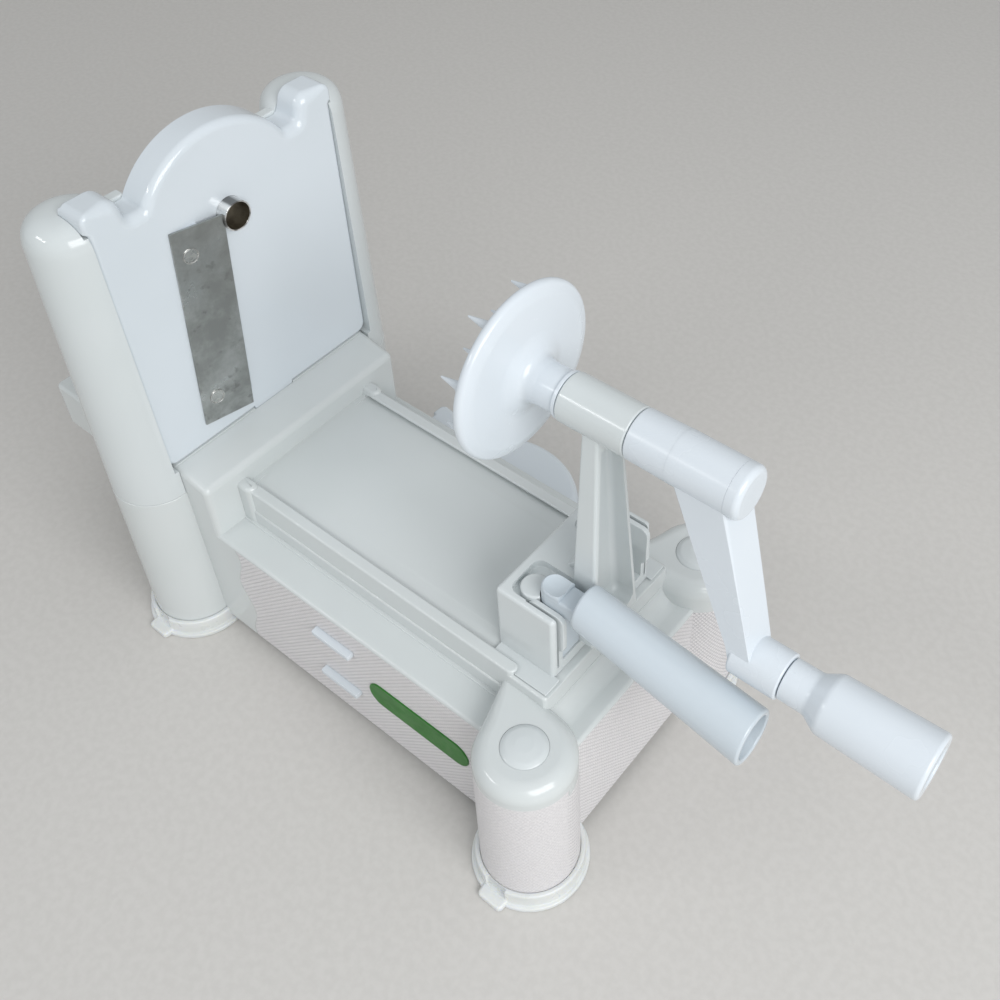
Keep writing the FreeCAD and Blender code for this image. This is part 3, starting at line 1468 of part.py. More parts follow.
def crank_grip():
    """The turning grip: a slim neck, a shoulder and a widening barrel."""
    grip = s.spindle_z - s.crank_radius
    body = new_body("grip_body")
    profile = new_sketch(body, "grip_profile", "XZ_Plane")
    bore = s.pin_radius + s.running_gap
    socket = s.pin_head_radius + s.grip_socket_room
    outline(profile, [
        (s.grip_start_x, grip + bore),
        (s.grip_start_x, grip + s.grip_neck_radius),
        (s.grip_neck_end_x, grip + s.grip_neck_radius),
        (s.grip_neck_end_x + s.shoulder * 0.3, grip + s.grip_neck_radius + s.shoulder_round),
        (s.grip_neck_end_x + s.shoulder * 0.6, grip + s.grip_radius - s.shoulder_round),
        (s.grip_neck_end_x + s.shoulder, grip + s.grip_radius),
        (s.grip_end_x - s.grip_edge, grip + s.grip_end_radius),
        (s.grip_end_x, grip + s.grip_end_radius - s.grip_edge),
        (s.grip_end_x, grip + socket),
        (s.grip_end_x - s.grip_socket - s.seat_gap, grip + socket),
        (s.grip_end_x - s.grip_socket - s.seat_gap, grip + bore),
    ])
    turn_about(body, "grip_turned", profile, grip)
    return finish_crank(body, "crank_grip")


crank_grip()


# Datum, checks and export

doc.recompute()
whole_box = FreeCAD.BoundBox()
for thing in PARTS:
    whole_box.add(thing.Shape.BoundBox)
datum = Vector(whole_box.Center.x, whole_box.Center.y, whole_box.ZMin)
for thing in PARTS:
    for axis in ("x", "y", "z"):
        thing.setExpression(".Placement.Base." + axis, None)
    thing.Placement = Placement(-datum, Rotation()).multiply(thing.Placement)
doc.recompute()

for thing in doc.Objects:
    if "Invalid" in thing.State or "Error" in thing.State:
        raise ValueError("%s is %s" % (thing.Label, thing.State))
for thing in PARTS:
    if thing.Shape.isNull() or not thing.Shape.isValid():
        raise ValueError(thing.Label + " has no valid shape")

os.makedirs("parts", exist_ok=True)
for thing in PARTS:
    thing.Shape.exportStep("parts/%s.step" % thing.Label)
print("datum %.4f %.4f %.4f" % (datum.x, datum.y, datum.z))
for thing in PARTS:
    box = thing.Shape.BoundBox
    print("%-22s solids %d volume %8.0f x %6.1f %6.1f y %6.1f %6.1f z %6.1f %6.1f" % (
        thing.Label, len(thing.Shape.Solids), thing.Shape.Volume,
        box.XMin, box.XMax, box.YMin, box.YMax, box.ZMin, box.ZMax))
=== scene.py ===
import math

import bmesh
import bpy
from mathutils import Matrix, Vector


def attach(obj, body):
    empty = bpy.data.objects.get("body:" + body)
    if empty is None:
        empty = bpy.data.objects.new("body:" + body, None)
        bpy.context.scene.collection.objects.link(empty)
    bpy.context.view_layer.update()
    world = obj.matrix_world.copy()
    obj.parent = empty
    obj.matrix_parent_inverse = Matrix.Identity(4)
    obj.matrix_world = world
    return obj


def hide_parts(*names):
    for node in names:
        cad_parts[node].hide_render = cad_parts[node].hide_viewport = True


# Visual model of a hand cranked vegetable spiralizer.
# Shapes are drawn in millimetres in the machine's own coordinates: X = 0 at the front of the
# blade plate and positive towards the crank, Y = 0 on the spindle's centre plane and positive
# on the far side, Z = 0 on the table. DATUM is the point that becomes the frame's origin.

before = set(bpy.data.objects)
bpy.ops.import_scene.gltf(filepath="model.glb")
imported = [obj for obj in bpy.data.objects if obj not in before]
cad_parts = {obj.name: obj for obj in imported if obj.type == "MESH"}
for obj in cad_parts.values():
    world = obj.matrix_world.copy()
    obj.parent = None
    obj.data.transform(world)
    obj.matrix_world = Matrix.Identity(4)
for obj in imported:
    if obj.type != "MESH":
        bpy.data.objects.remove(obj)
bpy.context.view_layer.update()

DATUM = Vector((97.05, 0.55, 0.0))
MM = 0.001
SPINDLE_Z = 185.0
CRANK_RADIUS = 61.8
GRIP_Z = SPINDLE_Z - CRANK_RADIUS
SPINDLE, GRIP = (0, 0, SPINDLE_Z), (0, 0, GRIP_Z)
CRANK_REST = math.radians(-4.6)
SHAFT_BORE = 4.05
FRONT_LEG_X, REAR_LEG_X, LEG_SIDE = 173.5, -14.9, 50.8
LEG_FOOT_RADIUS = 18.4
LEGS = {"near_front": (FRONT_LEG_X, -LEG_SIDE), "far_front": (FRONT_LEG_X, LEG_SIDE),
        "near_rear": (REAR_LEG_X, -LEG_SIDE), "far_rear": (REAR_LEG_X, LEG_SIDE)}
SIDES = (-1, 1)
COLUMN_FOOT = 81.8
DECK_TOP = 81.1
STORED = {"fine": 51.9, "coarse": 25.8}
PLATE_FOOT = 94.9
SOCKET_X, SOCKET_SIDE = 160.1, 17.5


# Outlines and closed meshes

SAME_SPOT = 1e-4
ON_AXIS = 1e-6
NEARLY_STRAIGHT = 0.01
LONGEST_ROUND = 0.49
LEAST_STRETCH = 0.5


def quarter(steps):
    """Angles of a quarter turn in equal steps, both ends included."""
    return [math.pi / 2 * i / steps for i in range(steps + 1)]


def on_side(side, inner, outer):
    """The span between two distances from the centre plane, on one side of it."""
    return tuple(sorted((inner * side, outer * side)))


def soften(points, closed=True, steps=6):
    """Turns corners (x, y, radius) of an outline into arcs."""
    out = []
    count = len(points)
    for i, point in enumerate(points):
        corner = Vector(point[:2])
        radius = point[2] if len(point) > 2 else 0.0
        if radius <= 0 or (not closed and i in (0, count - 1)):
            out.append(tuple(corner))
            continue
        back = Vector(points[i - 1][:2]) - corner
        ahead = Vector(points[(i + 1) % count][:2]) - corner
        reach = min(back.length, ahead.length) * LONGEST_ROUND
        back.normalize()
        ahead.normalize()
        half = back.angle(ahead) / 2
        if half > math.pi / 2 - NEARLY_STRAIGHT:
            out.append(tuple(corner))
            continue
        length = min(radius / math.tan(half), reach)
        centre = corner + (back + ahead).normalized() * (length / math.cos(half))
        first = corner + back * length - centre
        last = corner + ahead * length - centre
        sweep = math.pi - 2 * half
        side = 1 if first.x * last.y - first.y * last.x > 0 else -1
        parts = max(2, round(sweep / (math.pi / 2) * steps))
        for k in range(parts + 1):
            angle = side * sweep * k / parts
            spoke = Vector((first.x * math.cos(angle) - first.y * math.sin(angle),
                            first.x * math.sin(angle) + first.y * math.cos(angle)))
            out.append(tuple(centre + spoke))
    clean = [out[0]]
    for point in out[1:]:
        if (Vector(point) - Vector(clean[-1])).length > SAME_SPOT:
            clean.append(point)
    if closed and (Vector(clean[0]) - Vector(clean[-1])).length < SAME_SPOT:
        clean.pop()
    return clean


def counter_clockwise(points):
    area = sum(points[i - 1][0] * points[i][1] - points[i][0] * points[i - 1][1]
               for i in range(len(points)))
    return list(points) if area > 0 else list(reversed(points))


def inset(points, amounts):
    """Moves each point of a counter clockwise outline inwards by its own amount."""
    out = []
    count = len(points)
    for i, point in enumerate(points):
        here = Vector(point)
        back = (here - Vector(points[i - 1])).normalized()
        ahead = (Vector(points[(i + 1) % count]) - here).normalized()
        mean = back + ahead
        normal = Vector((-mean.y, mean.x)).normalized()
        stretch = max(LEAST_STRETCH, normal.dot(Vector((-back.y, back.x))))
        out.append(tuple(here + normal * (amounts[i] / stretch)))
    return out


# Where two coordinates of a plane and the depth across it go in space.
PLANES = {"XY": lambda u, v, w: (u, v, w), "XZ": lambda u, v, w: (u, w, v),
          "YZ": lambda u, v, w: (w, u, v)}


def loft(rings, looped=False):
    """A closed mesh through equal rings of points. A ring of one point is a pole."""
    mesh = bmesh.new()
    layers = [[mesh.verts.new(point) for point in ring] for ring in rings]
    pairs = list(zip(layers, layers[1:]))
    if looped:
        pairs.append((layers[-1], layers[0]))
    for low, high in pairs:
        count = max(len(low), len(high))
        for i in range(count):
            j = (i + 1) % count
            if len(low) == 1:
                mesh.faces.new((low[0], high[j], high[i]))
            elif len(high) == 1:
                mesh.faces.new((low[i], low[j], high[0]))
            else:
                mesh.faces.new((low[i], low[j], high[j], high[i]))
    if not looped:
        if len(layers[0]) > 1:
            mesh.faces.new(list(reversed(layers[0])))
        if len(layers[-1]) > 1:
            mesh.faces.new(layers[-1])
    bmesh.ops.recalc_face_normals(mesh, faces=mesh.faces)
    return mesh


def slab(outline, low, high, low_edge=0.0, high_edge=0.0, plane="XY", steps=5):
    """Extrudes an outline between two depths. Its rims are rounded by one radius or a list."""
    outline = counter_clockwise(outline)
    count = len(outline)
    low_radii = low_edge if isinstance(low_edge, list) else [low_edge] * count
    high_radii = high_edge if isinstance(high_edge, list) else [high_edge] * count
    put = PLANES[plane]
    rings = []
    if max(low_radii) > 0:
        for angle in quarter(steps)[:-1]:
            rim = inset(outline, [r * (1 - math.sin(angle)) for r in low_radii])
            rings.append([put(u, v, low + r * (1 - math.cos(angle)))
                          for (u, v), r in zip(rim, low_radii)])
    rings.append([put(u, v, low + r) for (u, v), r in zip(outline, low_radii)])
    rings.append([put(u, v, high - r) for (u, v), r in zip(outline, high_radii)])
    if max(high_radii) > 0:
        for angle in quarter(steps)[1:]:
            rim = inset(outline, [r * (1 - math.cos(angle)) for r in high_radii])
            rings.append([put(u, v, high - r * (1 - math.sin(angle)))
                          for (u, v), r in zip(rim, high_radii)])
    return loft(rings)


def brick(x, y, z, corner=0.0, top=0.0, bottom=0.0, plane="XY"):
    """A box of three spans. Its corners in the plane are rounded, and its rims across it."""
    steps = 4
    spans = {"XY": (x, y, z), "XZ": (x, z, y), "YZ": (y, z, x)}[plane]
    (u0, u1), (v0, v1), (w0, w1) = spans
    outline = soften([(u0, v0, corner), (u1, v0, corner), (u1, v1, corner), (u0, v1, corner)],
                     steps=steps)
    return slab(outline, w0, w1, bottom, top, plane, steps)


def lathe(profile, centre, axis="Z", steps=96, looped=False):
    """Revolves (radius, height) points about an axis through a centre."""
    cx, cy, cz = centre
    rings = []
    for radius, height in profile:
        ring = []
        for i in range(1 if radius < ON_AXIS else steps):
            angle = 2 * math.pi * i / steps
            a, b = radius * math.cos(angle), radius * math.sin(angle)
            ring.append({"Z": (cx + a, cy + b, cz + height),
                         "X": (cx + height, cy + a, cz + b)}[axis])
        rings.append(ring)
    return loft(rings, looped=looped)


def turned(profile, centre, axis="Z", steps=96, corner_steps=6):
    """Revolves an open profile with rounded corners that starts and ends on the axis."""
    return lathe(soften(profile, closed=False, steps=corner_steps), centre, axis, steps)


def rod(centre, radius, start, end, axis="Z", steps=64):
    return lathe([(radius, start), (radius, end)], centre, axis, steps)


def moved(mesh, matrix):
    mesh.transform(matrix)
    return mesh


# Joining shapes and making pieces

def add_object(name, data):
    thing = bpy.data.objects.new(name, data)
    bpy.context.scene.collection.objects.link(thing)
    return thing


def as_object(mesh, name="shape"):
    data = bpy.data.meshes.new(name)
    mesh.to_mesh(data)
    mesh.free()
    return add_object(name, data)


def discard(thing):
    data = thing.data
    bpy.data.objects.remove(thing)
    bpy.data.meshes.remove(data)


def combine(shapes, operation):
    """Unites or intersects closed meshes, or takes the later ones away from the first."""
    things = [as_object(shape) for shape in shapes]
    base = things[0]
    for other in things[1:]:
        step = base.modifiers.new("step", "BOOLEAN")
        step.operation = operation
        step.solver = "MANIFOLD"
        step.object = other
    graph = bpy.context.evaluated_depsgraph_get()
    result = bmesh.new()
    evaluated = base.evaluated_get(graph)
    result.from_mesh(evaluated.to_mesh())
    evaluated.to_mesh_clear()
    for thing in things:
        discard(thing)
    if not result.verts:
        raise ValueError("an empty shape came out of " + operation)
    return result


def union(*shapes):
    return combine(shapes, "UNION")


def minus(shape, *tools):
    return combine((shape,) + tools, "DIFFERENCE")


SHARP = math.radians(32)
MERGE_METRES = 1e-6
FACE_WEIGHT = 80
TO_FRAME = Matrix.Scale(MM, 4) @ Matrix.Translation(-DATUM)
TO_REST = (Matrix.Translation(SPINDLE) @ Matrix.Rotation(CRANK_REST, 4, "X")
           @ Matrix.Translation((0, 0, -SPINDLE_Z)))


def piece(name, mesh, node, body, material, crank=False):
    """Finishes a shape as a piece that stands for a CAD node. The crank's own pieces are
    drawn with the crank straight down and turned here to its rest pose."""
    if crank:
        mesh.transform(TO_REST)
    mesh.transform(TO_FRAME)
    bmesh.ops.remove_doubles(mesh, verts=mesh.verts, dist=MERGE_METRES)
    thing = as_object(mesh, name)
    data = thing.data
    data.polygons.foreach_set("use_smooth", [True] * len(data.polygons))
    data.set_sharp_from_angle(angle=SHARP)
    weighted = thing.modifiers.new("weighted", "WEIGHTED_NORMAL")
    weighted.keep_sharp = True
    weighted.weight = FACE_WEIGHT
    data.materials.append(material)
    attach(thing, body)
    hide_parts(node)
    return thing


# Materials. Lengths in them are metres, in the piece's own coordinates.

def rgba(tone, factor=1.0):
    return tuple(c * factor for c in tone) + (1.0,)


class Nodes:
    """Short calls for building a node tree."""

    def __init__(self, name):
        self.material = bpy.data.materials.new(name)
        self.material.use_nodes = True
        self.tree = self.material.node_tree
        self.shader = self.tree.nodes["Principled BSDF"]

    def add(self, kind, **settings):
        node = self.tree.nodes.new("ShaderNode" + kind)
        for key, value in settings.items():
            if key in node.inputs:
                node.inputs[key].default_value = value
            else:
                setattr(node, key, value)
        return node

    def link(self, source, target):
        self.tree.links.new(source, target)

    def place(self):
        return self.add("TexCoord").outputs["Object"]

    def noise(self, scale, detail, roughness=0.5, distortion=0.0):
        node = self.add("TexNoise", Scale=scale, Detail=detail, Roughness=roughness,
                        Distortion=distortion)
        self.link(self.place(), node.inputs["Vector"])
        return node.outputs["Fac"]

    def streaks(self, stretch, scale, detail):
        """Noise drawn out along the axis whose stretch is small."""
        mapping = self.add("Mapping", Scale=stretch)
        self.link(self.place(), mapping.inputs["Vector"])
        node = self.add("TexNoise", Scale=scale, Detail=detail)
        self.link(mapping.outputs[0], node.inputs["Vector"])
        return node.outputs["Fac"]

    def between(self, value, low, high, out_low, out_high):
        """Maps a value smoothly from one range to another."""
        node = self.add("MapRange", interpolation_type="SMOOTHSTEP", clamp=True)
        self.link(value, node.inputs["Value"])
        for key, number in (("From Min", low), ("From Max", high), ("To Min", out_low),
                            ("To Max", out_high)):
            node.inputs[key].default_value = number
        return node.outputs["Result"]

    def math(self, operation, first, second=None):
        node = self.add("Math", operation=operation)
        for socket, value in zip(node.inputs, (first, second)):
            if value is None:
                continue
            if isinstance(value, (int, float)):
                socket.default_value = value
            else:
                self.link(value, socket)
        return node.outputs[0]

    def mix(self, factor, first, second):
        node = self.add("Mix", data_type="RGBA")
        for key, value in ((0, factor), (6, first), (7, second)):
            if isinstance(value, (int, float, tuple)):
                node.inputs[key].default_value = value
            else:
                self.link(value, node.inputs[key])
        return node.outputs[2]

    def bump(self, height, distance, strength, after=None):
        node = self.add("Bump", Strength=strength, Distance=distance)
        self.link(height, node.inputs["Height"])
        if after is not None:
            self.link(after, node.inputs["Normal"])
        return node.outputs["Normal"]

    def set(self, **values):
        for key, value in values.items():
            socket = self.shader.inputs[key.replace("_", " ")]
            if isinstance(value, (int, float, tuple)):
                socket.default_value = value
            else:
                self.link(value, socket)
        return self.material


def moulded_plastic(name, colour, shade, rough, wall=False):
    """Glossy moulded plastic: faint tone drift, specks, soft waviness and handling marks."""
    n = Nodes(name)
    drift = n.between(n.noise(14.0, 2.0), 0.35, 0.7, 0.0, 1.0)
    tint = n.mix(drift, rgba(colour), rgba(shade))
    marks = n.between(n.noise(420.0, 6.0, 0.7, 1.5), 0.62, 0.78, 0.0, 1.0)
    speck = n.between(n.noise(900.0, 2.0), 0.76, 0.82, 0.0, 0.12)
    tint = n.mix(speck, tint, rgba(shade, 0.72))
    worn = n.math("MULTIPLY", marks, 0.1)
    patchy = n.between(n.noise(38.0, 3.0), 0.3, 0.75, rough * 0.8, rough * 1.35)
    roughness = n.math("ADD", patchy, worn)
    waves = n.bump(n.noise(60.0, 1.5), 0.0003, 0.12)
    normal = n.bump(marks, 0.00002, 0.25, after=waves)
    if wall:
        weave, area = wall_weave(n)
        normal = n.bump(weave, 0.00018, 1.0, after=normal)
        roughness = n.math("ADD", roughness, n.math("MULTIPLY", area, 0.26))
        # On the walls the raised weave cells are painted lighter and its hollows darker:
        # painted highlight and painted shade of the emboss.
        weave_highlight_and_shade = n.mix(weave, rgba((0.62, 0.61, 0.62)), rgba((0.84, 0.82, 0.83)))
        tint = n.mix(area, tint, weave_highlight_and_shade)
    return n.set(Base_Color=tint, Roughness=roughness, Normal=normal, IOR=1.53,
                 Subsurface_Weight=0.06, Subsurface_Radius=(0.004, 0.004, 0.004),
                 Subsurface_Scale=1.0)


def wall_weave(n):
    """The embossed diamond weave and the area it covers: upright walls below the ledge, and
    the front legs a little higher. It is weaker round the legs and ends in a wavy line."""
    wall_top, leg_top = (0.0632, 0.0638), (0.0672, 0.0684)
    leg_from, leg_beyond = (0.0580, 0.0582), (0.0506, 0.0510)
    rear_limit, ripple, ripple_depth = (-0.0725, -0.0715), 190.0, 0.0022
    wave_number, round_strength = 1400.0, 0.25
    split = n.add("SeparateXYZ")
    n.link(n.place(), split.inputs[0])
    x, y, z = split.outputs
    normal = n.add("SeparateXYZ")
    n.link(n.add("TexCoord").outputs["Normal"], normal.inputs[0])
    upright = n.between(n.math("ABSOLUTE", normal.outputs[2]), 0.05, 0.25, 1.0, 0.0)
    across = n.math("ABSOLUTE", y)
    leg = n.math("MULTIPLY", n.between(x, *leg_from, 0.0, 1.0),
                 n.between(across, *leg_beyond, 0.0, 1.0))
    leg = n.math("MULTIPLY", leg, n.between(z, *leg_top, 1.0, 0.0))
    below = n.math("MAXIMUM", n.between(z, *wall_top, 1.0, 0.0), leg)
    swing = n.math("MULTIPLY", n.math("SINE", n.math("MULTIPLY", z, ripple)), ripple_depth)
    ahead = n.between(n.math("ADD", x, swing), *rear_limit, 0.0, 1.0)
    area = n.math("MULTIPLY", n.math("MULTIPLY", upright, below), ahead)

    along = n.math("ADD", n.math("MULTIPLY", x, wave_number),
                   n.math("MULTIPLY", y, wave_number))
    rise = n.math("MULTIPLY", z, wave_number)
    crossed = n.math("MULTIPLY", n.math("SINE", n.math("ADD", along, rise)),
                     n.math("SINE", n.math("SUBTRACT", along, rise)))
    cells = n.between(n.math("ABSOLUTE", crossed), 0.02, 0.55, 0.0, 1.0)
    strength = n.between(across, 0.0512, 0.0516, 1.0, round_strength)
    cells = n.math("MULTIPLY", n.math("SUBTRACT", cells, 0.5), strength)
    grain = n.between(n.noise(1500.0, 2.0), 0.3, 0.7, -0.2, 0.2)
    weave = n.math("ADD", n.math("ADD", cells, 0.5), grain)
    return n.math("MULTIPLY", weave, area), area


def soft_vinyl(name):
    n = Nodes(name)
    drift = n.between(n.noise(55.0, 3.0), 0.3, 0.7, 0.0, 1.0)
    tint = n.mix(drift, rgba((0.77, 0.79, 0.78)), rgba((0.70, 0.72, 0.70)))
    rough = n.between(n.noise(160.0, 3.0), 0.3, 0.7, 0.26, 0.42)
    normal = n.bump(n.noise(240.0, 2.0), 0.0001, 0.3)
    return n.set(Base_Color=tint, Roughness=rough, Normal=normal, IOR=1.5,
                 Subsurface_Weight=0.25, Subsurface_Radius=(0.006, 0.005, 0.003),
                 Subsurface_Scale=1.0)


def blade_steel(name):
    """Thin stainless sheet with cloudy stains and faint lengthwise drawing lines."""
    n = Nodes(name)
    cloud = n.between(n.noise(70.0, 5.0, 0.6, 0.2), 0.35, 0.68, 0.0, 1.0)
    tint = n.mix(cloud, rgba((0.33, 0.34, 0.33)), rgba((0.52, 0.53, 0.52)))
    blotch = n.between(n.noise(260.0, 4.0), 0.6, 0.72, 0.0, 0.5)
    tint = n.mix(blotch, tint, rgba((0.22, 0.22, 0.21)))
    rough = n.between(cloud, 0.0, 1.0, 0.44, 0.27)
    normal = n.bump(n.streaks((1.0, 1.0, 0.02), 3000.0, 2.0), 0.00002, 0.35)
    return n.set(Base_Color=tint, Metallic=1.0, Roughness=rough, Normal=normal)


def bright_steel(name, tone, rough, deep=0.86):
    """Turned steel with streaks along X, darker by the factor deep."""
    n = Nodes(name)
    cloud = n.between(n.streaks((0.05, 1.0, 1.0), 260.0, 3.0), 0.36, 0.6, 0.0, 1.0)
    tint = n.mix(cloud, rgba(tone, deep), rgba(tone))
    roughness = n.between(n.noise(700.0, 3.0), 0.3, 0.7, rough * 0.75, rough * 1.3)
    return n.set(Base_Color=tint, Metallic=1.0, Roughness=roughness)


def painted_bore_shade(name):
    """The coring tube's bore, painted dark as shade."""
    n = Nodes(name)
    cloud = n.between(n.noise(300.0, 5.0), 0.3, 0.7, 0.0, 1.0)
    tint = n.mix(cloud, rgba((0.075, 0.060, 0.038)), rgba((0.13, 0.11, 0.075)))
    return n.set(Base_Color=tint, Metallic=0.6, Roughness=n.between(cloud, 0, 1, 0.5, 0.38))


def printed_foil(name):
    n = Nodes(name)
    drift = n.between(n.noise(120.0, 3.0), 0.3, 0.7, 0.0, 1.0)
    tint = n.mix(drift, rgba((0.018, 0.150, 0.012)), rgba((0.025, 0.178, 0.017)))
    fibre = n.bump(n.noise(1400.0, 2.0), 0.00002, 0.3)
    rough = n.between(n.noise(260.0, 2.0), 0.3, 0.7, 0.38, 0.5)
    return n.set(Base_Color=tint, Roughness=rough, Normal=fibre, IOR=1.48)


BASE_WHITE = moulded_plastic("base_white", (0.660, 0.695, 0.695), (0.630, 0.668, 0.665),
                             rough=0.13, wall=True)
TOWER_WHITE = moulded_plastic("tower_white", (0.665, 0.705, 0.712), (0.635, 0.678, 0.682),
                              rough=0.14)
PLATE_WHITE = moulded_plastic("plate_white", (0.690, 0.745, 0.790), (0.664, 0.720, 0.760),
                              rough=0.13)
CRANK_WHITE = moulded_plastic("crank_white", (0.720, 0.775, 0.825), (0.695, 0.750, 0.798),
                              rough=0.22)
HANDLE_WHITE = moulded_plastic("handle_white", (0.590, 0.655, 0.705), (0.570, 0.633, 0.680),
                               rough=0.18)
VINYL = soft_vinyl("cup_vinyl")
STEEL = blade_steel("blade_sheet")
RIVET = bright_steel("rivet_steel", (0.60, 0.60, 0.58), 0.28)
CHROME = bright_steel("tube_steel", (0.86, 0.86, 0.85), 0.12, 0.25)
# Dark material for the coring tube's bore: painted shade inside the tube.
BORE_SHADE = painted_bore_shade("tube_bore_shade")
FOIL = printed_foil("badge_foil")
ACETAL = moulded_plastic("bush_acetal", (0.60, 0.60, 0.56), (0.56, 0.56, 0.52), rough=0.35)


# Suction cups

def cup(name):
    """A cup round a leg's foot, with a plug inside the leg and a pull tab that points out."""
    x, y = LEGS[name]
    socket = LEG_FOOT_RADIUS + 0.05
    rim, collar, plug, bore = 21.9, 20.35, 15.55, 13.55
    body = turned([
        (0, 3.0), (15.9, 1.5, 4), (20.3, 0, 0.6), (rim, 0, 0.5), (rim, 2.0, 0.8),
        (collar, 2.2, 0.7), (collar, 8.6, 0.8), (socket, 8.6, 0.5), (socket, 4.95),
        (plug, 4.95), (plug, 11.0), (bore, 11.0), (bore, 5.0), (0, 5.0)],
        (x, y, 0), steps=120)
    outwards = math.radians(90.0 if y < 0 else -90.0)
    turn = Matrix.Translation((x, y, 0)) @ Matrix.Rotation(outwards, 4, "Z")
    tab = slab(soften([(-24.2, -5.2, 1.6), (-18.6, -5.8), (-18.6, 5.8), (-24.2, 5.2, 1.6)]),
               0.2, 2.8, 0.4, 0.9)
    notch = brick((-23.6, -18.7), (-4.4, 4.4), (3.0, 9.6), 0.6)
    shape = minus(union(body, moved(tab, turn)), moved(notch, turn))
    piece(name + "_cup_vinyl", shape, name + "_cup", "base", VINYL)


for corner in LEGS:
    cup(corner)


# Base shell

def leg_head(side):
    """A front leg's head: a drop shaped slab that runs into the rail, with a rounded rim."""
    x, y = FRONT_LEG_X, side * LEG_SIDE
    radius, low, high = 17.9, 55.0, 76.5
    round_rim, tip_rim = 6.2, 0.8
    tip = Vector((150.0, side * 31.5))
    to_tip = tip - Vector((x, y))
    reach = to_tip.length
    heading = math.atan2(to_tip.y, to_tip.x)
    spread = math.acos(radius / reach)
    steps = 64
    sweep = 2 * math.pi - 2 * spread
    points = []
    for i in range(steps + 1):
        angle = heading + spread + sweep * i / steps
        points.append((x + radius * math.cos(angle), y + radius * math.sin(angle)))
    first, last = Vector(points[0]), Vector(points[-1])
    runs = 12
    into = [tuple(last.lerp(tip, i / runs)) for i in range(1, runs)]
    back = [tuple(tip.lerp(first, i / runs)) for i in range(1, runs)]
    outline = counter_clockwise(points + into + [(tip.x, tip.y)] + back)
    radii = []
    for u, v in outline:
        away = (Vector((u, v)) - Vector((x, y))).length
        fade = min(1.0, max(0.0, (away - radius) / (reach - radius)))
        radii.append(round_rim - (round_rim - tip_rim) * fade)
    return slab(outline, low, high, 0.0, radii, steps=8)


def front_cove():
    """The hollow curve under the deck's front edge, as wide as the deck."""
    edge, reach, low, high = 176.9, 6.7, 65.21, 72.2
    curve = [(edge - reach * math.sin(a), high - (high - low) * math.cos(a))
             for a in quarter(12)]
    return slab(curve + [(168.0, high), (168.0, 62.0), (edge, 62.0)], -36.0, 36.0, plane="XZ")


def cross_block():
    """The block across the deck in front of the columns, with the plate's seat on top."""
    back, front, low = -13.15, 17.1, 45.0
    side_view = soften([
        (back, low), (front, low), (front, 90.8, 3.0), (1.0, 94.3), (0.0, 94.3),
        (0.0, 94.75), (back, 94.75)], steps=5)
    return slab(side_view, -50.5, 50.5, 2.6, 2.6, "XZ")


def base_outside():
    ledge = brick((REAR_LEG_X, 182.8), (-50.5, 50.5), (5.0, 65.2), 1.5, 1.5, 0.4)
    deck = brick((REAR_LEG_X, 170.0), (-35.7, 35.7), (6.0, DECK_TOP), 1.4, 0.9)
    step = brick((17.1, 170.2), (-36.3, 36.3), (6.0, 72.2), 1.6, 0.7)
    plinth = brick((15.0, 171.0), (-37.7, 37.7), (6.0, 65.75), 1.8, 0.35)
    tray = brick((-91.5, REAR_LEG_X), (-45.5, 45.5), (59.7, 81.7), 2.4, 1.6, 0.5)
    shapes = [ledge, deck, step, plinth, tray, cross_block(), front_cove()]
    for side in SIDES:
        rail = on_side(side, 30.9, 35.7)
        shapes.append(brick((10.0, 155.6), rail, (70.0, 83.2), 2.3, 0.9))
        rail_stop = on_side(side, 31.2, 37.0)
        shapes.append(brick((15.0, 24.2), rail_stop, (60.0, 84.6), 2.9, 1.6))
        shapes.append(leg_head(side))
    return union(*shapes)


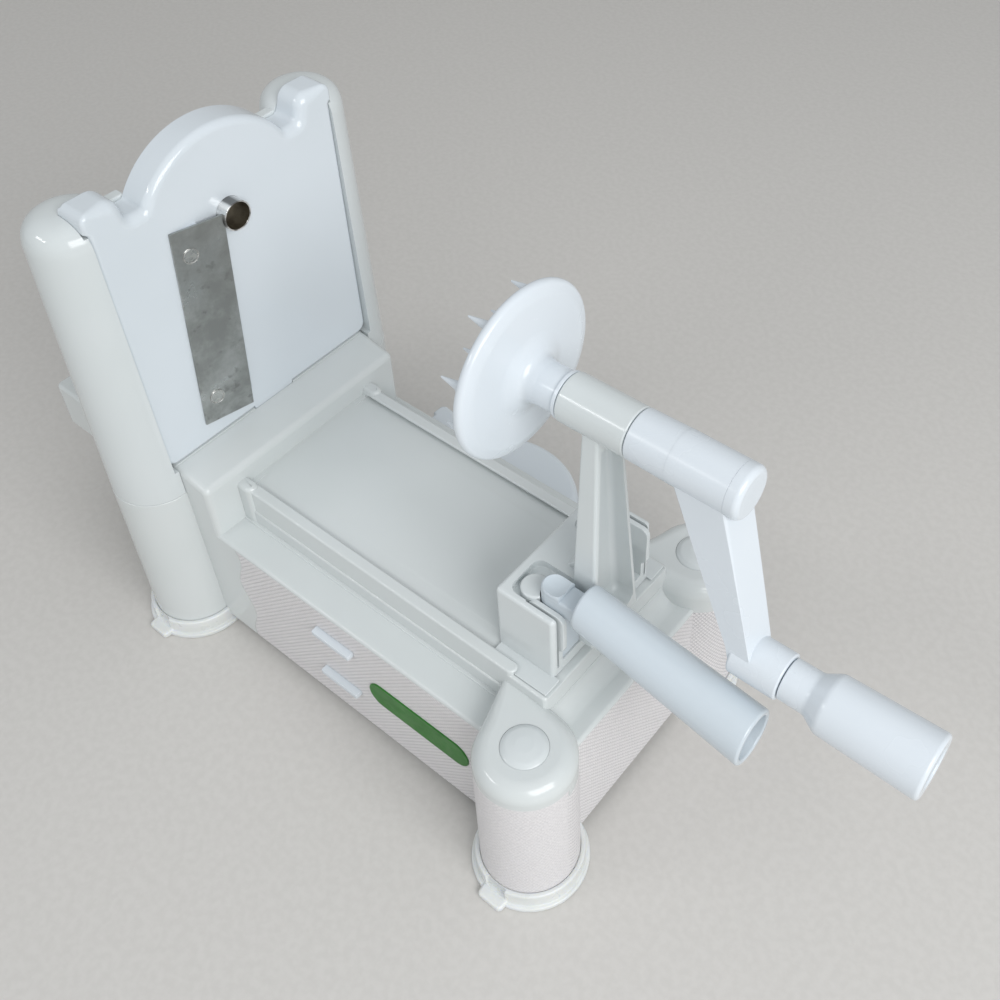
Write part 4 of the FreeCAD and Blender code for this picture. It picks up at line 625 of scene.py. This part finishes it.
def base_shell():
    under_ledge = brick((-12.7, 180.6), (-48.3, 48.3), (0.0, 63.0), 1.0, 0.8)
    under_deck = brick((-12.7, 167.8), (-33.5, 33.5), (4.0, 78.1), 1.0, 0.6)
    in_block = brick((-10.8, 14.9), (-48.3, 48.3), (4.0, 87.4), 1.0, 0.6)
    in_tray = brick((-89.3, -17.9), (-43.3, 43.3), (50.0, 79.5), 1.2, 0.8)
    tab_seat = brick((-2.55, 0.15), (-10.1, 10.1), (89.2, 96.0))
    shell = minus(base_outside(), under_ledge, under_deck, in_block, in_tray, tab_seat)

    added = []
    for name, (x, y) in LEGS.items():
        foot = [(0, 5.0), (LEG_FOOT_RADIUS, 5.0, 0.4)]
        if name.endswith("front"):
            top, corner_steps = [(17.75, 76.2, 6.4), (0, 76.2)], 9
        else:
            top, corner_steps = [(17.8, COLUMN_FOOT, 0.4), (0, COLUMN_FOOT)], 6
        added.append(turned(foot + top, (x, y, 0), steps=120, corner_steps=corner_steps))
    room_start, room_end, across = 26.6, 131.6, (-48.8, 48.8)
    for face, side in ((room_start, -1), (room_end, 1)):
        added.append(brick(sorted((face, face + 2.2 * side)), across, (5.5, 63.5)))
        for height in STORED.values():
            runner_top = height - 13.05
            added.append(brick(sorted((face + 0.5 * side, face - 5.0 * side)), across,
                               (runner_top - 2.0, runner_top), 0.3, 0.3, 0.3))
    solid = union(shell, *added)

    tools = []
    for name, (x, y) in LEGS.items():
        top = 67.5 if name.endswith("front") else 78.6
        tools.append(rod((x, y, 0), 15.6, 3.0, top))
    for height in STORED.values():
        opening = (height - 13.3, height + 5.8)
        tools.append(brick((room_start, room_end), (47.3, 51.5), opening, 1.0, plane="XZ"))
        window = (height - 2.7, height + 0.3)
        tools.append(brick((69.0, 89.2), (-52.0, -47.3), window, 0.4, plane="XZ"))
    groove = [(34.35, 80.6), (26.35, 80.6), (22.6, 81.2), (22.6, 82.4), (34.35, 82.4)]
    for side in SIDES:
        tools.append(slab([(v * side, w) for v, w in groove], 19.3, 173.2, plane="YZ"))
        tools.append(rod((FRONT_LEG_X, side * LEG_SIDE, 0), 8.35, 71.5, 78.0))
    tools.append(brick((23.2, 176.0), (-30.9, 30.9), (DECK_TOP, 90.0)))
    piece("base_shell_skin", minus(solid, *tools), "base_shell", "base",
          BASE_WHITE)


base_shell()


def leg_plug(word, side):
    profile = [(0, 71.6), (8.3, 71.6), (8.3, 76.6, 0.7), (6.6, 77.6, 3.0), (3.0, 78.06, 6.0),
               (0, 78.1)]
    piece(word + "_leg_button", turned(profile, (FRONT_LEG_X, side * LEG_SIDE, 0)),
          word + "_leg_plug", "base", TOWER_WHITE)


leg_plug("near", -1)
leg_plug("far", 1)


def badge():
    left, right, low, high, end = 95.5, 145.5, 28.5, 41.5, 6.45
    outline = soften([(left, low, end), (right, low, end), (right, high, end),
                      (left, high, end)], steps=16)
    piece("badge_label", slab(outline, -51.1, -50.5, 0.25, 0.0, "XZ"), "badge", "base",
          FOIL)


badge()


# Tower frame

def plate_room():
    """The slot between the columns for the blade plate: below it, beside it and, wider,
    beside its ears."""
    depth, over = (-13.04, 22.0), 240.0
    return [
        brick(depth, (-50.65, 50.65), (80.8, PLATE_FOOT)),
        brick(depth, (-52.35, 52.35), (93.9, over)),
        brick(depth, (-53.75, 53.75), (203.2, over)),
    ]


def column(side):
    """A tapered column whose top is domed, flatter than a ball."""
    top_radius, dome_foot, dome_rise = 15.5, 196.2, 11.8
    dome = [(top_radius * math.cos(a) ** 0.66, dome_foot + dome_rise * math.sin(a) ** 0.74)
            for a in quarter(16)[:-1]]
    profile = soften([(0, COLUMN_FOOT), (17.7, COLUMN_FOOT, 0.5), (15.55, 195.6)],
                     closed=False)
    return lathe(profile + dome + [(0, 208.0)], (REAR_LEG_X, side * LEG_SIDE, 0), steps=120)


def tower_frame():
    shapes = []
    for side in SIDES:
        rib = brick((-17.4, -13.15), on_side(side, 29.5, 42.0), (COLUMN_FOOT, 203.2), 0.9,
                    0.6)
        shapes += [column(side), rib]
    shapes.append(brick((-31.9, REAR_LEG_X), (-LEG_SIDE, LEG_SIDE), (COLUMN_FOOT, 92.8), 1.4,
                        1.4, 0.3, plane="XZ"))
    piece("tower_frame_skin", minus(union(*shapes), *plate_room()), "tower_frame", "base",
          TOWER_WHITE)


tower_frame()


# Blade plates

def plate_outline(shrink=0.0):
    """The plate's front: bottom corners, side walls, ears, dips and the hump."""
    side = 52.2 - shrink
    ear_out, ear_in = 53.6 - shrink, 39.2 + shrink
    top, dip, dip_blend = 211.6 - shrink, 202.0 - shrink, 1.6
    step_shrink = shrink * 0.6
    centre, radius, steps = 182.0, 37.0 - shrink, 48
    low_angle = math.asin((dip + dip_blend - centre) / radius)
    hump = []
    for i in range(steps + 1):
        angle = low_angle + (math.pi - 2 * low_angle) * i / steps
        hump.append((radius * math.cos(angle), centre + radius * math.sin(angle)))
    foot = hump[0][0] + dip_blend * math.tan(low_angle)
    right = [
        (side, PLATE_FOOT + shrink, 4.2), (side, 203.6 + step_shrink),
        (ear_out, 205.0 + step_shrink), (ear_out, top, 4.2), (ear_in, top, 5.5),
        (ear_in - 2.0, dip, 2.4), (foot, dip, 1.8)]
    left = [(-point[0],) + point[1:] for point in reversed(right)]
    return counter_clockwise(soften(right + hump + left, steps=8))


def plate_radii(outline, wide, narrow):
    """Rim radii: wide in the dips, less round the hump, narrow along the straight sides."""
    radii = []
    for u, v in outline:
        lift = min(1.0, max(0.0, (v - 180.0) / 16.0))
        inner = min(1.0, max(0.0, (53.0 - abs(u)) / 8.0))
        on_hump = min(1.0, max(0.0, (33.0 - abs(u)) / 6.0))
        blend = lift * inner * inner * (3 - 2 * inner) * (1 - 0.45 * on_hump)
        radii.append(narrow + (wide - narrow) * blend)
    return radii


BLADE_CORNER = (-25.6, 189.6)
BLADE_TILT = math.radians(4.8)
BLADE_RISE = math.radians(8.0)
RIVETS = ((6.4, 11.0), (6.4, 75.0))
THROUGH = (-26.0, 13.0)
RIVET_HOLE = 2.55


def blade_matrix(rise=BLADE_RISE):
    """Maps (depth, across, along) of the blade's own frame to the plate."""
    turn = Matrix.Rotation(-BLADE_TILT, 4, "X") @ Matrix.Rotation(-rise, 4, "Z")
    return Matrix.Translation((0,) + BLADE_CORNER) @ turn


def blade_point(across, along):
    """A place of the blade's own frame in the plate's front view."""
    y, z = BLADE_CORNER
    return (y + math.cos(BLADE_TILT) * across - math.sin(BLADE_TILT) * along,
            z - math.sin(BLADE_TILT) * across - math.cos(BLADE_TILT) * along)


def plate_drill(radius, y, z, steps=64):
    """A rod that reaches through a whole plate."""
    return rod((0, y, z), radius, *THROUGH, "X", steps)


def rivet_drills():
    return [plate_drill(RIVET_HOLE, *blade_point(*place), 40) for place in RIVETS]


def stored_matrix(height):
    """Lays a plate in the base: front face up, hump towards the far side."""
    middle_x, foot_y = 79.1, -48.0
    turn = Matrix.Rotation(math.radians(-120), 4, Vector((1, 1, 1)))
    return Matrix.Translation((middle_x, foot_y - PLATE_FOOT, height)) @ turn


PLATES = {"ribbon": Matrix(), "fine": stored_matrix(STORED["fine"]),
          "coarse": stored_matrix(STORED["coarse"])}


def plate_skin(kind):
    """The moulded plate. Only the stored plates have the slot for a comb of small blades."""
    outline = plate_outline()
    depth, wall = 13.0, 2.6
    behind = [0.3 + 1.3 * min(1.0, max(0.0, (v - 202.5) / 4.0)) * (33.0 < abs(u) < 53.0)
              for u, v in outline]
    front = plate_radii(outline, 4.2, 1.5)
    shell = slab(outline, -depth, 0.0, behind, front, "YZ", steps=8)
    hollow = slab(plate_outline(wall), -depth - 1.0, -wall, 0.0, 1.0, "YZ", steps=3)
    seat = moved(brick((-wall, -0.05), (0.4, 11.3), (-85.6, -0.4)), blade_matrix())
    keep = brick((-1.0, 13.0), (-52.2, 52.2), (PLATE_FOOT, 212.0))
    parts = [
        brick((-2.4, 0.0), (-9.8, 9.8), (89.5, 97.0), 0.5, 0.2, 0.3, plane="YZ"),
        rod(SPINDLE, 7.5, -8.6, -1.6, "X"),
        combine((seat, keep), "INTERSECT"),
    ]
    for place in RIVETS:
        parts.append(rod((0,) + blade_point(*place), 4.3, -5.6, -1.5, "X", 40))
    shape = union(minus(shell, hollow), *parts)
    window = moved(brick(THROUGH, (11.9, 23.4), (-82.0, -4.0)), blade_matrix(0.0))
    tools = [window, plate_drill(5.8, 0, SPINDLE_Z)] + rivet_drills()
    if kind in STORED:
        tools.append(moved(brick(THROUGH, (25.95, 27.25), (-83.05, -10.95)),
                           blade_matrix(0.0)))
    piece(kind + "_plate_skin", moved(minus(shape, *tools), PLATES[kind]), kind + "_plate",
          kind + "_plate", PLATE_WHITE)


def plate_blade(kind):
    thick, wide, long = 0.9, 21.0, 86.0
    blade = moved(brick((0, thick), (0, wide), (-long, 0), 0.0, 0.15, 0.15, plane="XZ"),
                  blade_matrix())
    blade = minus(blade, plate_drill(5.85, 0, SPINDLE_Z), *rivet_drills())
    piece(kind + "_blade_sheet", moved(blade, PLATES[kind]), kind + "_blade", kind + "_plate",
          STEEL)


def plate_rivets(kind):
    """Both rivets in one mesh: a shank with a head at the back and a raised ring in front."""
    rivets = []
    for across, along in RIVETS:
        shank = turned([(0, -6.85), (3.7, -6.85, 0.4), (3.7, -5.65), (2.5, -5.65), (2.5, 1.4),
                        (0, 1.4)], (0,) + blade_point(across, along), "X", 40)
        ring = turned([(0, 0.2), (2.4, 0.2), (2.4, 0.86), (3.1, 0.86), (3.1, 1.3, 0.12),
                       (2.7, 1.3, 0.12), (2.55, 1.0), (0, 1.0)], (0, across, -along), "X", 48)
        rivets.append(union(shank, moved(ring, blade_matrix())))
    pair = rivets[0]
    second = as_object(rivets[1])
    pair.from_mesh(second.data)
    discard(second)
    piece(kind + "_rivet_rings", moved(pair, PLATES[kind]), kind + "_rivets", kind + "_plate",
          RIVET)


def coring_tube(kind):
    """The short tube in the plate. Its bore gets the dark material of painted shade."""
    outer, bore, back, front = 5.75, 5.2, -8.6, 4.9
    profile = soften([(outer, back), (outer, front, 0.15), (bore, front, 0.15), (bore, back)])
    where = PLATES[kind]
    ring = moved(lathe(profile, SPINDLE, "X", 72, looped=True), where)
    tube = piece(kind + "_coring_ring", ring, kind + "_coring_tube", kind + "_plate",
                 CHROME)
    # The inward faces of the bore take the dark material: painted shade inside the tube.
    tube.data.materials.append(BORE_SHADE)
    centre = (where @ Vector(SPINDLE) - DATUM) * MM
    axis = where.to_3x3() @ Vector((1, 0, 0))
    for face in tube.data.polygons:
        out = face.center - centre
        out -= axis * out.dot(axis)
        if face.normal.dot(out) < 0 and abs(face.normal.dot(axis)) < 0.5:
            face.material_index = 1


for kind in PLATES:
    plate_skin(kind)
    plate_blade(kind)
    plate_rivets(kind)
    coring_tube(kind)


# Carriage

POST_FOOT, POST_HEIGHT = 86.0, 99.0
POST_BACK, POST_WALL = 162.2, 1.9
POST_HALF, POST_NARROWING = 12.9, 6.9
POST_MOUTH, POST_LEAN = 172.6, 4.6


def post_ring(z, back, mouth, trim, back_corner, mouth_corner):
    """One level of the post or its channel: narrow under the bearing, wide at the foot."""
    half = POST_HALF - POST_NARROWING * (z - POST_FOOT) / POST_HEIGHT - trim
    outline = soften([(back, -half, back_corner), (mouth, -half, mouth_corner),
                      (mouth, half, mouth_corner), (back, half, back_corner)], steps=5)
    return [(u, v, z) for u, v in outline]


def post_mouth(z):
    """How far the post reaches towards the crank."""
    return POST_MOUTH - POST_LEAN * (z - POST_FOOT) / POST_HEIGHT


def post():
    """The post without its channel, cut off at the spindle's height."""
    toe, low, corner = 1.4, 87.4, 1.0
    levels = [(low - toe * math.sin(a), toe - toe * math.cos(a)) for a in quarter(4)[:0:-1]]
    levels += [(z, 0.0) for z in (low, 110.0, 140.0, 193.0)]
    rings = [post_ring(z, POST_BACK, post_mouth(z) - trim, trim, corner, corner + 0.01)
             for z, trim in levels]
    above = brick((148.0, 190.0), (-20, 20), (SPINDLE_Z, 215.0))
    return minus(loft(rings), above)


def post_channel():
    """The channel in the post. It runs out through the post's open side."""
    toe, low, corner = 4.0, 95.0, 2.4
    back, beyond = 163.9, 20.0
    levels = [(low - toe * math.sin(a), POST_WALL + toe - toe * math.cos(a))
              for a in quarter(5)[:0:-1]]
    levels += [(z, POST_WALL) for z in (low, 130.0, 174.25)]
    return loft([post_ring(z, back + max(0.0, trim - POST_WALL), post_mouth(z) + beyond,
                           trim, corner, 0.01) for z, trim in levels])


def carriage():
    saddle = brick((142.6, 167.0), (-27.3, 27.3), (81.25, 112.0), 1.6, 1.5, 0.3)
    room = brick((144.8, 164.8), (-10.5, 10.5), (80.0, 105.8), 0.6, 0.5)
    saddle = minus(saddle, room)
    for side in SIDES:
        recess = brick((146.2, 172.0), on_side(side, 8.6, 24.8), (109.0, 116.0), 3.6, 0.0,
                       0.5)
        saddle = minus(saddle, recess)
    start, radius, length = 153.5, 8.25, 24.5
    bearing = turned([(0, 0), (radius, 0, 0.6), (radius, length, 0.6), (0, length)],
                     (start, 0, SPINDLE_Z), "X")
    gusset = soften([(153.2, 108.0), (163.0, 108.0), (163.0, 126.0), (160.7, 117.5, 4.0),
                     (153.2, 109.6, 1.0)], steps=5)
    shapes = [saddle, post(), bearing, slab(gusset, -5.0, 5.0, 0.8, 0.8, "XZ", 3)]
    for side in SIDES:
        flange = brick((143.6, 169.0), on_side(side, 26.5, 34.2), (80.75, 81.75), 0.4, 0.2,
                       0.2)
        boss = turned([(0, 107.0), (5.1, 107.0), (5.1, 112.6, 0.8), (0, 112.6)],
                      (152.9, side * 18.6, 0), steps=56)
        tongue = brick((154.0, 169.0), on_side(side, 22.3, 24.2), (93.6, 112.0), 3.0, 0.3,
                       0.3, plane="XZ")
        shapes += [flange, boss, tongue]
    whole = union(*shapes)
    tools = [post_channel()]
    slot_half, slot_foot = 4.8, 86.7
    for side in SIDES:
        y = side * SOCKET_SIDE
        tools.append(brick((SOCKET_X, 170.0), (y - slot_half, y + slot_half),
                           (slot_foot, 115.0)))
        tools.append(rod((SOCKET_X, y, 0), slot_half, slot_foot, 118.0, steps=48))
        tools.append(brick((154.0, 170.0), on_side(side, 24.2, 25.2), (84.7, 115.0)))
    tools.append(rod(SPINDLE, 5.65, 150.0, 181.0, "X"))
    piece("carriage_skin", minus(whole, *tools), "carriage", "carriage",
          TOWER_WHITE)


carriage()


def bush(word, start):
    outer, bore, length = 5.6, 4.06, 7.0
    profile = soften([(outer, 0, 0.3), (outer, length, 0.3), (bore, length, 0.2),
                      (bore, 0, 0.2)])
    piece(word + "_bush_ring", lathe(profile, (start, 0, SPINDLE_Z), "X", 64, looped=True),
          word + "_bush", "carriage", ACETAL)


bush("front", 153.9)
bush("rear", 170.6)


def socket_bar(end, half, low, high, top, bottom):
    """A flat bar in the near socket, with a round nose."""
    y = -SOCKET_SIDE
    nose = [(SOCKET_X + half * math.cos(a), y + half * math.sin(a))
            for a in (math.pi / 2 + math.pi * i / 32 for i in range(33))]
    return slab(nose + [(end, y - half), (end, y + half)], low, high, bottom, top)


def side_handle():
    """The drooping tube and its lug. The lug's bars differ a little in width, so that no two
    faces lie in one plane when they are united."""
    droop = math.radians(10.9)
    y = -SOCKET_SIDE
    length, end_radius, neck_radius, floor_z = 65.4, 9.7, 8.05, 12.0
    tube = turned([(0, 0), (neck_radius, 0.0, 1.5), (end_radius, length, 0.9),
                   (7.7, length, 0.7), (6.05, floor_z, 0.5), (0, floor_z)], (0, 0, 0))
    for vert in tube.verts:
        near_an_end = not 9.0 < vert.co.z < 40.0
        if near_an_end:
            vert.co.z += math.tan(droop) * vert.co.x
    turn = (Matrix.Translation((172.5, y, 116.5))
            @ Matrix.Rotation(math.pi / 2 + droop, 4, "Y"))
    shapes = [
        moved(tube, turn),
        socket_bar(166.6, 4.5, 87.0, 112.0, 0.3, 0.6),
        socket_bar(177.0, 4.44, 110.6, 116.6, 1.2, 0.4),
        socket_bar(165.2, 4.38, 108.0, 118.2, 1.2, 0.4),
        brick((165.9, 177.9), (y - 4.0, y + 4.0), (109.9, 112.4), 0.2, 0.2),
    ]
    ball, steps = 9.0, 24
    arc = [(ball * math.sin(a), -ball * math.cos(a))
           for a in (math.pi * i / steps for i in range(1, steps))]
    dimple = lathe([(0.0, -ball)] + arc + [(0.0, ball)], (161.3, y, 125.8), steps=64)
    piece("side_handle_grip", minus(union(*shapes), dimple), "side_handle", "side_handle",
          HANDLE_WHITE)


side_handle()


# Spindle, crank and grip

def spiked_disc():
    x, count, first_angle = 133.3, 16, 24.5
    outer_ring, inner_ring = 25.2, 18.5
    shapes = [turned([
        (0, 0), (30.1, 0, 2.0), (30.1, 3.0, 1.8), (26.2, 4.3, 8.0), (13.5, 5.2, 10.0),
        (7.7, 7.6, 4.0), (7.2, 11.4, 3.0), (7.2, 18.4), (7.9, 18.7, 0.2), (7.9, 19.9, 0.3),
        (SHAFT_BORE, 19.9), (SHAFT_BORE, 2.2), (0, 2.2)], (x, 0, SPINDLE_Z), "X", 144, 8)]
    spike = [(0, -9.0), (0.3, -8.9, 0.2), (1.9, 0.0, 0.6), (2.5, 0.4), (0, 0.8)]
    for i in range(count):
        ring = outer_ring if i % 2 == 0 else inner_ring
        angle = math.radians(first_angle + 360 / count * i)
        place = (x, ring * math.cos(angle), SPINDLE_Z + ring * math.sin(angle))
        shapes.append(turned(spike, place, "X", 24))
    piece("spiked_disc_skin", union(*shapes), "spiked_disc", "spindle",
          CRANK_WHITE)


spiked_disc()


def collar():
    length = 14.19
    profile = soften([(8.3, 0, 0.5), (8.55, length, 0.03), (SHAFT_BORE, length),
                      (SHAFT_BORE, 0)])
    piece("crank_collar_ring", lathe(profile, (178.3, 0, SPINDLE_Z), "X", looped=True),
          "crank_collar", "spindle", CRANK_WHITE)


collar()


def crank_arm():
    """Hub, leaning arm and grip boss in one moulding, drawn straight down."""
    hub_start, hub_end, boss_start, boss_end = 192.5, 211.75, 221.4, 238.3
    hub = turned([(0, hub_start), (8.6, hub_start, 0.04), (8.6, hub_end, 0.08),
                  (0, hub_end)], SPINDLE, "X")
    boss = turned([(0, boss_start), (7.8, boss_start, 1.0), (7.8, boss_end, 0.6),
                   (0, boss_end)], GRIP, "X")
    side_view = soften([(193.0, SPINDLE_Z), (211.25, SPINDLE_Z), (228.0, GRIP_Z + 5.5, 4.0),
                        (229.5, GRIP_Z), (boss_start, GRIP_Z), (219.9, GRIP_Z + 5.5, 3.0)])
    arm = slab(side_view, -7.5, 7.5, 1.3, 1.3, "XZ", 4)
    front_view = slab([(-7.5, SPINDLE_Z + 0.5), (7.5, SPINDLE_Z + 0.5), (6.3, GRIP_Z - 0.5),
                       (-6.3, GRIP_Z - 0.5)], 180.0, 240.0, plane="YZ")
    whole = union(hub, boss, combine((arm, front_view), "INTERSECT"))
    shaft_hole = rod(SPINDLE, SHAFT_BORE, 191.0, 206.85, "X")
    screw_hole = rod(SPINDLE, 3.5, 206.0, 213.0, "X", 48)
    cap_room = rod(SPINDLE, 8.65, hub_end, 228.0, "X")
    pin_hole = rod(GRIP, 3.05, 218.0, 245.0, "X", 48)
    pin_head_room = rod(GRIP, 5.05, 218.0, 223.9, "X", 48)
    whole = minus(whole, shaft_hole, screw_hole, cap_room, pin_hole, pin_head_room)
    piece("crank_arm_skin", whole, "crank_arm", "spindle", CRANK_WHITE,
          crank=True)


crank_arm()


def crank_cap():
    cap = turned([(0, 0), (8.6, 0, 0.08), (8.6, 4.5, 2.0), (0, 4.5)], (211.8, 0, SPINDLE_Z),
                 "X", corner_steps=8)
    piece("crank_cap_skin", cap, "crank_cap", "spindle", CRANK_WHITE,
          crank=True)


crank_cap()


def grip_pin():
    pin = turned([(0, 221.45), (5.0, 221.45, 0.6), (5.0, 223.85, 0.2), (3.0, 223.85),
                  (3.0, 276.6), (5.0, 276.6, 0.2), (5.0, 279.0, 0.8), (0, 279.2)], GRIP,
                 "X", 48)
    piece("grip_pin_steel", pin, "grip_pin", "spindle", RIVET, crank=True)


grip_pin()


def crank_grip():
    pin_bore, socket = 3.06, 6.4
    profile = soften([
        (pin_bore, 238.6), (6.85, 238.6, 0.5), (6.95, 247.5, 3.0), (9.9, 252.5, 4.0),
        (10.65, 285.6, 1.3), (socket, 285.6, 0.8), (socket, 276.55), (pin_bore, 276.55)],
        steps=7)
    piece("crank_grip_skin", lathe(profile, GRIP, "X", looped=True), "crank_grip",
          "crank_grip", CRANK_WHITE, crank=True)


crank_grip()


# Small metal parts keep their CAD shape and get a material here.
CAD_MATERIALS = {"near_tower_screw": RIVET, "far_tower_screw": RIVET, "crank_screw": RIVET,
                 "drive_shaft": RIVET, "fine_comb": STEEL, "coarse_comb": STEEL}
for node, material in CAD_MATERIALS.items():
    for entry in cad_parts[node].material_slots:
        entry.material = material


# Floor, light and camera, in metres

def floor():
    """A sheet of paper that curves up behind the machine."""
    data = bpy.data.meshes.new("floor")
    size, depth, rise, radius, below_table = 3.0, 1.3, 1.4, 0.5, 0.0001
    rows = [(-size, 0.0), (depth - radius, 0.0)]
    rows += [(depth - radius + radius * math.sin(a), radius - radius * math.cos(a))
             for a in quarter(16)[1:]]
    rows.append((depth, rise))
    heading = Matrix.Rotation(math.radians(39), 3, "Z")
    points, faces = [], []
    for forward, up in rows:
        for across in (-size, size):
            flat = heading @ Vector((across, forward, 0))
            points.append((flat.x, flat.y, up - below_table))
    for i in range(len(rows) - 1):
        faces.append((2 * i, 2 * i + 1, 2 * i + 3, 2 * i + 2))
    data.from_pydata(points, [], faces)
    data.polygons.foreach_set("use_smooth", [True] * len(faces))
    n = Nodes("floor_paper")
    grain = n.between(n.noise(320.0, 4.0), 0.3, 0.7, 0.0, 1.0)
    tint = n.mix(grain, rgba((0.60, 0.585, 0.56)), rgba((0.63, 0.615, 0.59)))
    data.materials.append(n.set(Base_Color=tint, Roughness=0.85,
                                Normal=n.bump(grain, 0.0001, 0.2)))
    thing = add_object("floor", data)


def lamp(name, place, target, size, power):
    """A plain white area lamp."""
    data = bpy.data.lights.new(name, "AREA")
    data.shape = "RECTANGLE"
    data.size, data.size_y = size
    data.energy = power
    thing = add_object(name, data)
    thing.location = place
    aim = Vector(target) - Vector(place)
    thing.rotation_euler = aim.to_track_quat("-Z", "Y").to_euler()


def light_up():
    world = bpy.data.worlds.new("studio")
    world.use_nodes = True
    background = world.node_tree.nodes["Background"]
    background.inputs["Color"].default_value = (0.94, 0.97, 1.0, 1.0)
    background.inputs["Strength"].default_value = 0.52
    bpy.context.scene.world = world
    lamp("key", (1.0, -0.36, 0.80), (0.0, 0.0, 0.1), (0.9, 0.7), 10.5)
    lamp("top", (0.1, 0.1, 1.3), (0.0, 0.0, 0.0), (1.2, 1.2), 1.0)
    lamp("strip", (-0.5, -0.85, 0.8), (0.0, 0.0, 0.1), (0.5, 0.09), 1.5)


def camera():
    """The photograph's camera, solved from the machine's straight edges."""
    data = bpy.data.cameras.new("camera")
    data.sensor_fit = "HORIZONTAL"
    data.sensor_width = 36.0
    data.lens = 42.93226
    data.shift_x = -0.057101
    data.shift_y = -0.112103
    data.clip_start, data.clip_end = 0.01, 20.0
    thing = add_object("camera", data)
    thing.location = (Vector((310.177, -197.775, 429.801)) - DATUM) * MM
    thing.rotation_euler = [math.radians(a) for a in (46.26942, 0.73767, 38.57802)]
    bpy.context.scene.camera = thing


floor()
light_up()
camera()
bpy.context.scene.view_settings.view_transform = "Standard"
